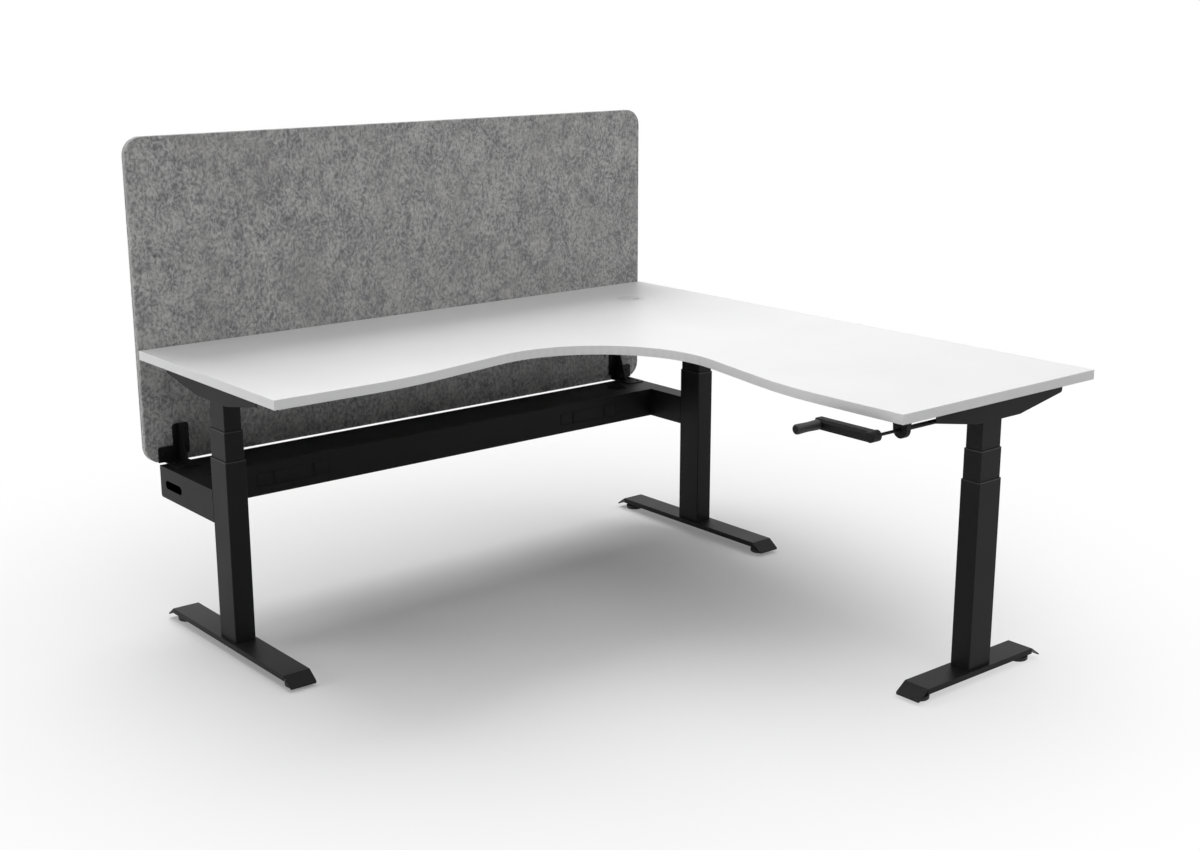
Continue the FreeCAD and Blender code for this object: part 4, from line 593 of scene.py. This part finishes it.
class BoardLook(bpy.types.PropertyGroup):
    """Shape of the work surface's edge and its colours."""

    colour: FloatVectorProperty(name="Face", description="Colour of the melamine face",
                                subtype="COLOR", size=3, default=(0.84, 0.84, 0.84))
    band_colour: FloatVectorProperty(name="Band", description="Colour of the edge band",
                                     subtype="COLOR", size=3, default=(0.82, 0.82, 0.82))
    rough: FloatProperty(name="Roughness", description="Roughness of the melamine",
                         default=0.42, min=0.05, max=1.0)
    band: FloatProperty(name="Band thickness", description="Thickness of the edge band",
                        default=0.002, subtype="DISTANCE", unit="LENGTH")
    band_proud: FloatProperty(name="Band proud", description="How far the band stands proud",
                              default=0.00015, subtype="DISTANCE", unit="LENGTH")
    arris: FloatProperty(name="Arris", description="Roundness of the band's arrises",
                         default=0.0012, subtype="DISTANCE", unit="LENGTH")
    wide: FloatProperty(name="Length along the screen", description="Length of the left wing",
                        default=1.8, subtype="DISTANCE", unit="LENGTH")
    deep: FloatProperty(name="Length of the side wing", description="Length of the side wing",
                        default=1.8, subtype="DISTANCE", unit="LENGTH")
    wing: FloatProperty(name="Wing depth", description="Depth of both wings",
                        default=0.75, subtype="DISTANCE", unit="LENGTH")
    waist: FloatProperty(name="Waist depth", description="Depth at the waist of each wing",
                         default=0.669, subtype="DISTANCE", unit="LENGTH")
    inner_radius: FloatProperty(name="Inner corner", description="Radius of the inner corner",
                                default=0.335, subtype="DISTANCE", unit="LENGTH")
    blend_radius: FloatProperty(name="Blend", description="Radius where the edge swings in",
                                default=1.15, subtype="DISTANCE", unit="LENGTH")
    slope: FloatProperty(name="Slope", description="Angle of the sloping stretch",
                         default=math.radians(12), subtype="ANGLE", unit="ROTATION")


class MetalLook(bpy.types.PropertyGroup):
    """Powder coat, plating and castings."""

    colour: FloatVectorProperty(name="Powder", description="Colour of the powder coat",
                                subtype="COLOR", size=3, default=(0.0060, 0.0060, 0.0062))
    zinc: FloatVectorProperty(name="Zinc", description="Colour of plated steel",
                              subtype="COLOR", size=3, default=(0.58, 0.58, 0.57))
    casting: FloatVectorProperty(name="Casting", description="Colour of cast housings",
                                 subtype="COLOR", size=3, default=(0.27, 0.27, 0.275))
    rough: FloatProperty(name="Roughness", description="Roughness of the powder coat",
                         default=0.46, min=0.05, max=1.0)
    grain: FloatProperty(name="Grain per metre", description="How fine the powder's grain is",
                         default=650.0, min=10.0)
    relief: FloatProperty(name="Relief", description="Depth of the powder's grain",
                          default=0.00012, subtype="DISTANCE", unit="LENGTH")
    groove: FloatProperty(name="Groove", description="Groove added round each knock-out cover",
                          default=0.0018, subtype="DISTANCE", unit="LENGTH")
    soft: FloatProperty(name="Plate rim", description="Roundness of the knock-out covers' rims",
                        default=0.0004, subtype="DISTANCE", unit="LENGTH")


class PlasticLook(bpy.types.PropertyGroup):
    """Moulded parts: grip, glides, collars and the cable port."""

    black: FloatVectorProperty(name="Black", description="Colour of the black plastic",
                               subtype="COLOR", size=3, default=(0.014, 0.014, 0.014))
    white: FloatVectorProperty(name="White", description="Colour of the cable port",
                               subtype="COLOR", size=3, default=(0.80, 0.80, 0.80))
    end_round: FloatProperty(name="Grip end", description="Roundness of the grip's ends",
                             default=0.004, subtype="DISTANCE", unit="LENGTH")
    waist: FloatProperty(name="Grip waist", description="How much the grip narrows",
                         default=0.0009, subtype="DISTANCE", unit="LENGTH")
    bore: FloatProperty(name="Grip bore", description="Radius of the grip's bore",
                        default=0.0051, subtype="DISTANCE", unit="LENGTH")
    recess: FloatProperty(name="Grip recess", description="Radius of the recess for the pin",
                          default=0.0083, subtype="DISTANCE", unit="LENGTH")
    recess_depth: FloatProperty(name="Recess depth", description="Depth of that recess",
                                default=0.0043, subtype="DISTANCE", unit="LENGTH")


class StudioLook(bpy.types.PropertyGroup):
    """Camera, lights and floor."""

    place: FloatVectorProperty(name="Camera", description="Where the camera stands",
                               subtype="TRANSLATION", unit="LENGTH", size=3,
                               default=(-2.7601, -3.3328, 1.7015))
    yaw: FloatProperty(name="Yaw", description="Turn from +Y towards +X",
                       default=math.radians(39.598), subtype="ANGLE", unit="ROTATION")
    pitch: FloatProperty(name="Pitch", description="How far the camera looks down",
                         default=math.radians(14.414), subtype="ANGLE", unit="ROTATION")
    lens: FloatProperty(name="Lens", description="Focal length on a 36 mm sensor",
                        default=49.87, min=10.0, subtype="DISTANCE_CAMERA")
    ambient: FloatProperty(name="Ambient", description="Strength of the world's light",
                           default=0.0, min=0.0)
    mirrored: FloatProperty(name="Mirrored", description="Strength of the world in reflections",
                            default=1.0, min=0.0)
    top: FloatProperty(name="Top light", description="Power of the wide ceiling softbox",
                       default=820.0, min=0.0, subtype="POWER")
    rear: FloatProperty(name="Rear light", description="Power of the softbox above and behind",
                        default=206.0, min=0.0, subtype="POWER")
    front: FloatProperty(name="Front light", description="Power of the softbox in front",
                         default=33.0, min=0.0, subtype="POWER")
    side: FloatProperty(name="Left light", description="Power of the softbox on the left",
                        default=45.0, min=0.0, subtype="POWER")
    right: FloatProperty(name="Right light", description="Power of the softbox on the right",
                         default=20.0, min=0.0, subtype="POWER")
    floor: FloatVectorProperty(name="Floor", description="Colour of the floor",
                               subtype="COLOR", size=3, default=(0.84, 0.84, 0.84))
    lift: FloatProperty(name="Floor lift", description="White added to the floor for the camera",
                        default=0.0, min=0.0)
    fade_centre: FloatProperty(name="Fade centre", description="How far back the fade's centre is",
                               default=0.4, subtype="DISTANCE", unit="LENGTH")
    fade_start: FloatProperty(name="Fade start", description="Where the floor starts to fade",
                              default=0.3, subtype="DISTANCE", unit="LENGTH")
    fade_end: FloatProperty(name="Fade end", description="Where the floor is plain white",
                            default=2.2, subtype="DISTANCE", unit="LENGTH")


class WorkstationSettings(bpy.types.PropertyGroup):
    """All that can be changed on the workstation."""

    felt: PointerProperty(type=FeltLook)
    board: PointerProperty(type=BoardLook)
    metal: PointerProperty(type=MetalLook)
    plastic: PointerProperty(type=PlasticLook)
    studio: PointerProperty(type=StudioLook)


def scene_settings():
    """The settings of the scene that is open."""
    return bpy.context.scene.workstation


# Operators


class WORKSTATION_OT_steelwork(bpy.types.Operator):
    """Powder coat on feet, columns, arms, rails, tray and crank, and grooved knock-out covers"""

    bl_idname = "workstation.steelwork"
    bl_label = "Finish Steelwork"

    def execute(self, context):
        look = scene_settings().metal
        coat = powder_coat(look)
        names = ["cable_tray", "tray_lid", "knockout_covers", "left_return", "corner_return",
                 "left_screen_bracket", "right_screen_bracket", "long_rail", "cross_rail",
                 "crank_arm", "crank_bearing"]
        names += ["%s_%s" % (leg, part) for leg in LEGS
                  for part in ("foot", "outer_column", "middle_column", "inner_column", "arm")]
        finish_node(names, coat)
        plates = knockout_plates(look)
        plates.data.materials.append(coat)
        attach(plates, "base")
        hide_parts("knockout_covers")
        return {"FINISHED"}


class WORKSTATION_OT_lift_drive(bpy.types.Operator):
    """Plated spindles and shafts, cast gearbox housings, and the crank's dark rod and pin"""

    bl_idname = "workstation.lift_drive"
    bl_label = "Finish Lift Drive"

    def execute(self, context):
        look = scene_settings().metal
        plate = plated(look)
        housing = cast(look)
        names = ["base_nut_tubes", "long_shaft", "cross_shaft"]
        names += ["%s_%s" % (leg, part) for leg in LEGS for part in ("screw_tube", "lift_screw")]
        finish_node(names, plate)
        finish_node([leg + "_gearbox" for leg in LEGS] + ["junction_gearbox"], housing)
        dark = powder_coat(look)
        dark.name = "black_oxide"
        finish_node(["crank_rod", "grip_pin"], dark)
        return {"FINISHED"}


class WORKSTATION_OT_plastics(bpy.types.Operator):
    """Moulded glides and collars, the grip's sleeve and the cable port"""

    bl_idname = "workstation.plastics"
    bl_label = "Finish Plastics"

    def execute(self, context):
        look = scene_settings().plastic
        black = moulded("moulded_black", look.black, 0.5)
        names = ["outer_collars"]
        names += ["%s_%s" % (leg, part) for leg in LEGS
                  for part in ("middle_collar", "front_glide", "rear_glide")]
        finish_node(names + ["crank_grip"], black)
        white = moulded("moulded_white", look.white, 0.38)
        finish_node(["port_sleeve", "port_cap"], white)
        sleeve = grip_sleeve(look)
        sleeve.data.materials.append(black)
        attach(sleeve, "grip")
        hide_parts("crank_grip")
        return {"FINISHED"}


class WORKSTATION_OT_work_surface(bpy.types.Operator):
    """Melamine on the board, and the edge band round it"""

    bl_idname = "workstation.work_surface"
    bl_label = "Finish Work Surface"

    def execute(self, context):
        look = scene_settings().board
        finish_node(["work_surface"], melamine(look, "melamine_face", look.colour))
        band = edge_band(look)
        band.data.materials.append(melamine(look, "edge_band_abs", look.band_colour, 0.6))
        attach(band, "desk")
        return {"FINISHED"}


class WORKSTATION_OT_felt_screen(bpy.types.Operator):
    """Two layers of felt with soft rims on the screen's core"""

    bl_idname = "workstation.felt_screen"
    bl_label = "Build Felt Screen"

    def execute(self, context):
        look = scene_settings().felt
        finish_node(["screen_core"], board_core(look))
        for side, turn, front, back in (("front", 0.0, look.rim, look.rim * 0.4),
                                        ("back", 0.7, look.rim * 0.4, look.rim)):
            node = "screen_%s_felt" % side
            slab = felt_slab("felt_panel_" + side, node, front, back, look.crown)
            slab.data.materials.append(felt(look, "felt_" + side, turn))
            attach(slab, "base")
            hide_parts(node)
        return {"FINISHED"}


class WORKSTATION_OT_screws(bpy.types.Operator):
    """Button-head screws in the brackets, the arms and the crank's bearing"""

    bl_idname = "workstation.screws"
    bl_label = "Build Screws"

    def execute(self, context):
        look = scene_settings().metal
        black = powder_coat(look)
        black.name = "black_screws"
        for node, body, coat, slot in (("frame_screws", "base", black, "black_oxide"),
                                       ("board_screws", "desk", plated(look), "zinc_steel")):
            finish_node([node], coat)
            screws = socket_screws("socket_" + node, node)
            screws.data.materials.append(coat)
            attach(screws, body)
            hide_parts(node)
        return {"FINISHED"}


class WORKSTATION_OT_studio(bpy.types.Operator):
    """Pale floor, soft lights and the camera at the photograph's angle"""

    bl_idname = "workstation.studio"
    bl_label = "Set Up Studio"

    def execute(self, context):
        look = scene_settings().studio
        scene = context.scene
        camera = bpy.data.objects.new("studio_camera", bpy.data.cameras.new("studio_camera"))
        scene.collection.objects.link(camera)
        camera.data.lens = look.lens
        camera.data.sensor_width = 36.0
        camera.data.clip_end = 100.0
        camera.matrix_world = (Matrix.Translation(look.place)
                               @ Matrix.Rotation(-look.yaw, 4, "Z")
                               @ Matrix.Rotation(math.pi / 2 - look.pitch, 4, "X"))
        scene.camera = camera
        self.floor(look)
        self.lights(scene, look)
        self.world(scene, look)
        scene.view_settings.view_transform = "Standard"
        return {"FINISHED"}

    def floor(self, look):
        """A wide floor whose unshadowed part looks white to the camera."""
        wide = 40.0
        corners = np.array([[-wide, -wide, 0.0], [wide, -wide, 0.0],
                            [wide, wide, 0.0], [-wide, wide, 0.0]])
        plane = make_piece("studio_floor", corners, np.array([[0, 1, 2, 3]]), smooth=False)
        mix = Recipe("studio_floor_paint")
        grain = mix.noise(9.0, detail=2.0)
        tone = mix.colours(mix.levels(grain, 0.2, 0.8), tuple(look.floor),
                           tuple(channel * 0.995 for channel in look.floor))
        diffuse = mix.add("ShaderNodeBsdfDiffuse", {"Color": tone})
        path = mix.add("ShaderNodeLightPath")
        seen = mix.maths("MAXIMUM", path.outputs["Is Camera Ray"],
                         mix.maths("MAXIMUM", path.outputs["Is Glossy Ray"],
                                   path.outputs["Is Transmission Ray"]))
        glow = mix.add("ShaderNodeEmission", {"Strength": mix.maths("MULTIPLY", seen, look.lift)})
        both = mix.add("ShaderNodeAddShader")
        mix.tree.links.new(diffuse.outputs[0], both.inputs[0])
        mix.tree.links.new(glow.outputs[0], both.inputs[1])
        away = mix.add("ShaderNodeVectorMath", {0: mix.place, 1: (0.0, look.fade_centre, 0.0)},
                       operation="DISTANCE")
        fade = mix.add("ShaderNodeMapRange", {
            "Value": away.outputs["Value"],
            "From Min": look.fade_start,
            "From Max": look.fade_end,
        }, interpolation_type="SMOOTHSTEP")
        white = mix.add("ShaderNodeEmission", {"Strength": 1.0})
        blend = mix.add("ShaderNodeMixShader")
        share = mix.maths("MULTIPLY", fade.outputs["Result"], seen)
        mix.tree.links.new(share, blend.inputs[0])
        mix.tree.links.new(both.outputs[0], blend.inputs[1])
        mix.tree.links.new(white.outputs[0], blend.inputs[2])
        mix.tree.links.new(blend.outputs[0], mix.out.inputs["Surface"])
        plane.data.materials.append(mix.material)

    def lights(self, scene, look):
        """A wide ceiling and a softbox behind it, and weaker ones in front and at both sides."""
        for name, power, place, aim, size in (
                ("ceiling_softbox", look.top, (0.0, 0.0, 13.0), (0.0, 0.0, 0.0), (18.0, 18.0)),
                ("rear_softbox", look.rear, (0.4, 3.5, 4.9), (0.2, 0.0, 0.6), (4.8, 3.2)),
                ("front_softbox", look.front, (-0.6, -2.4, 3.2), (0.0, 0.2, 0.7), (2.6, 2.6)),
                ("left_softbox", look.side, (-4.4, 1.6, 1.3), (0.0, 0.4, 0.5), (2.4, 2.0)),
                ("right_softbox", look.right, (3.2, -1.8, 2.6), (0.3, -0.2, 0.6), (2.4, 2.4))):
            data = bpy.data.lights.new(name, "AREA")
            data.shape = "RECTANGLE"
            data.size, data.size_y = size
            data.energy = power
            lamp = bpy.data.objects.new(name, data)
            scene.collection.objects.link(lamp)
            lamp.location = place
            lamp.rotation_euler = (Vector(aim) - Vector(place)).to_track_quat("-Z", "Y").to_euler()

    def world(self, scene, look):
        """Ambient light, more of it in reflections, and white where the camera sees past."""
        world = bpy.data.worlds.new("studio_world")
        scene.world = world
        world.use_nodes = True
        tree = world.node_tree
        tree.nodes.clear()
        out = tree.nodes.new("ShaderNodeOutputWorld")
        path = tree.nodes.new("ShaderNodeLightPath")
        seen = tree.nodes.new("ShaderNodeMath")
        seen.operation = "MAXIMUM"
        tree.links.new(path.outputs["Is Camera Ray"], seen.inputs[0])
        tree.links.new(path.outputs["Is Transmission Ray"], seen.inputs[1])
        mirrored = tree.nodes.new("ShaderNodeMapRange")
        mirrored.inputs["To Min"].default_value = look.ambient
        mirrored.inputs["To Max"].default_value = look.mirrored
        tree.links.new(path.outputs["Is Glossy Ray"], mirrored.inputs["Value"])
        level = tree.nodes.new("ShaderNodeMapRange")
        level.inputs["To Max"].default_value = 1.0
        tree.links.new(mirrored.outputs[0], level.inputs["To Min"])
        tree.links.new(seen.outputs[0], level.inputs["Value"])
        glow = tree.nodes.new("ShaderNodeBackground")
        glow.inputs["Color"].default_value = (1.0, 1.0, 1.0, 1.0)
        tree.links.new(level.outputs[0], glow.inputs["Strength"])
        tree.links.new(glow.outputs[0], out.inputs["Surface"])


class WORKSTATION_PT_panel(bpy.types.Panel):
    """Operators and settings of the workstation"""

    bl_label = "Workstation"
    bl_idname = "WORKSTATION_PT_panel"
    bl_space_type = "VIEW_3D"
    bl_region_type = "UI"
    bl_category = "Workstation"

    def draw(self, context):
        layout = self.layout
        for operator in OPERATORS:
            layout.operator(operator.bl_idname)
        settings = scene_settings()
        for group in (settings.felt, settings.board, settings.metal, settings.plastic,
                      settings.studio):
            box = layout.box()
            for name in group.bl_rna.properties.keys():
                if name not in ("rna_type", "name"):
                    box.prop(group, name)


OPERATORS = (WORKSTATION_OT_steelwork, WORKSTATION_OT_lift_drive, WORKSTATION_OT_plastics,
             WORKSTATION_OT_work_surface, WORKSTATION_OT_felt_screen, WORKSTATION_OT_screws,
             WORKSTATION_OT_studio)
CLASSES = (FeltLook, BoardLook, MetalLook, PlasticLook, StudioLook, WorkstationSettings,
           *OPERATORS, WORKSTATION_PT_panel)


def register():
    """Register every class and put the settings on the scene."""
    for item in CLASSES:
        bpy.utils.register_class(item)
    bpy.types.Scene.workstation = PointerProperty(type=WorkstationSettings)


def unregister():
    """Take the settings off the scene and drop every class."""
    del bpy.types.Scene.workstation
    for item in reversed(CLASSES):
        bpy.utils.unregister_class(item)


def main():
    register()
    for operator in OPERATORS:
        group, name = operator.bl_idname.split(".")
        getattr(getattr(bpy.ops, group), name)()


if __name__ == "__main__":
    main()
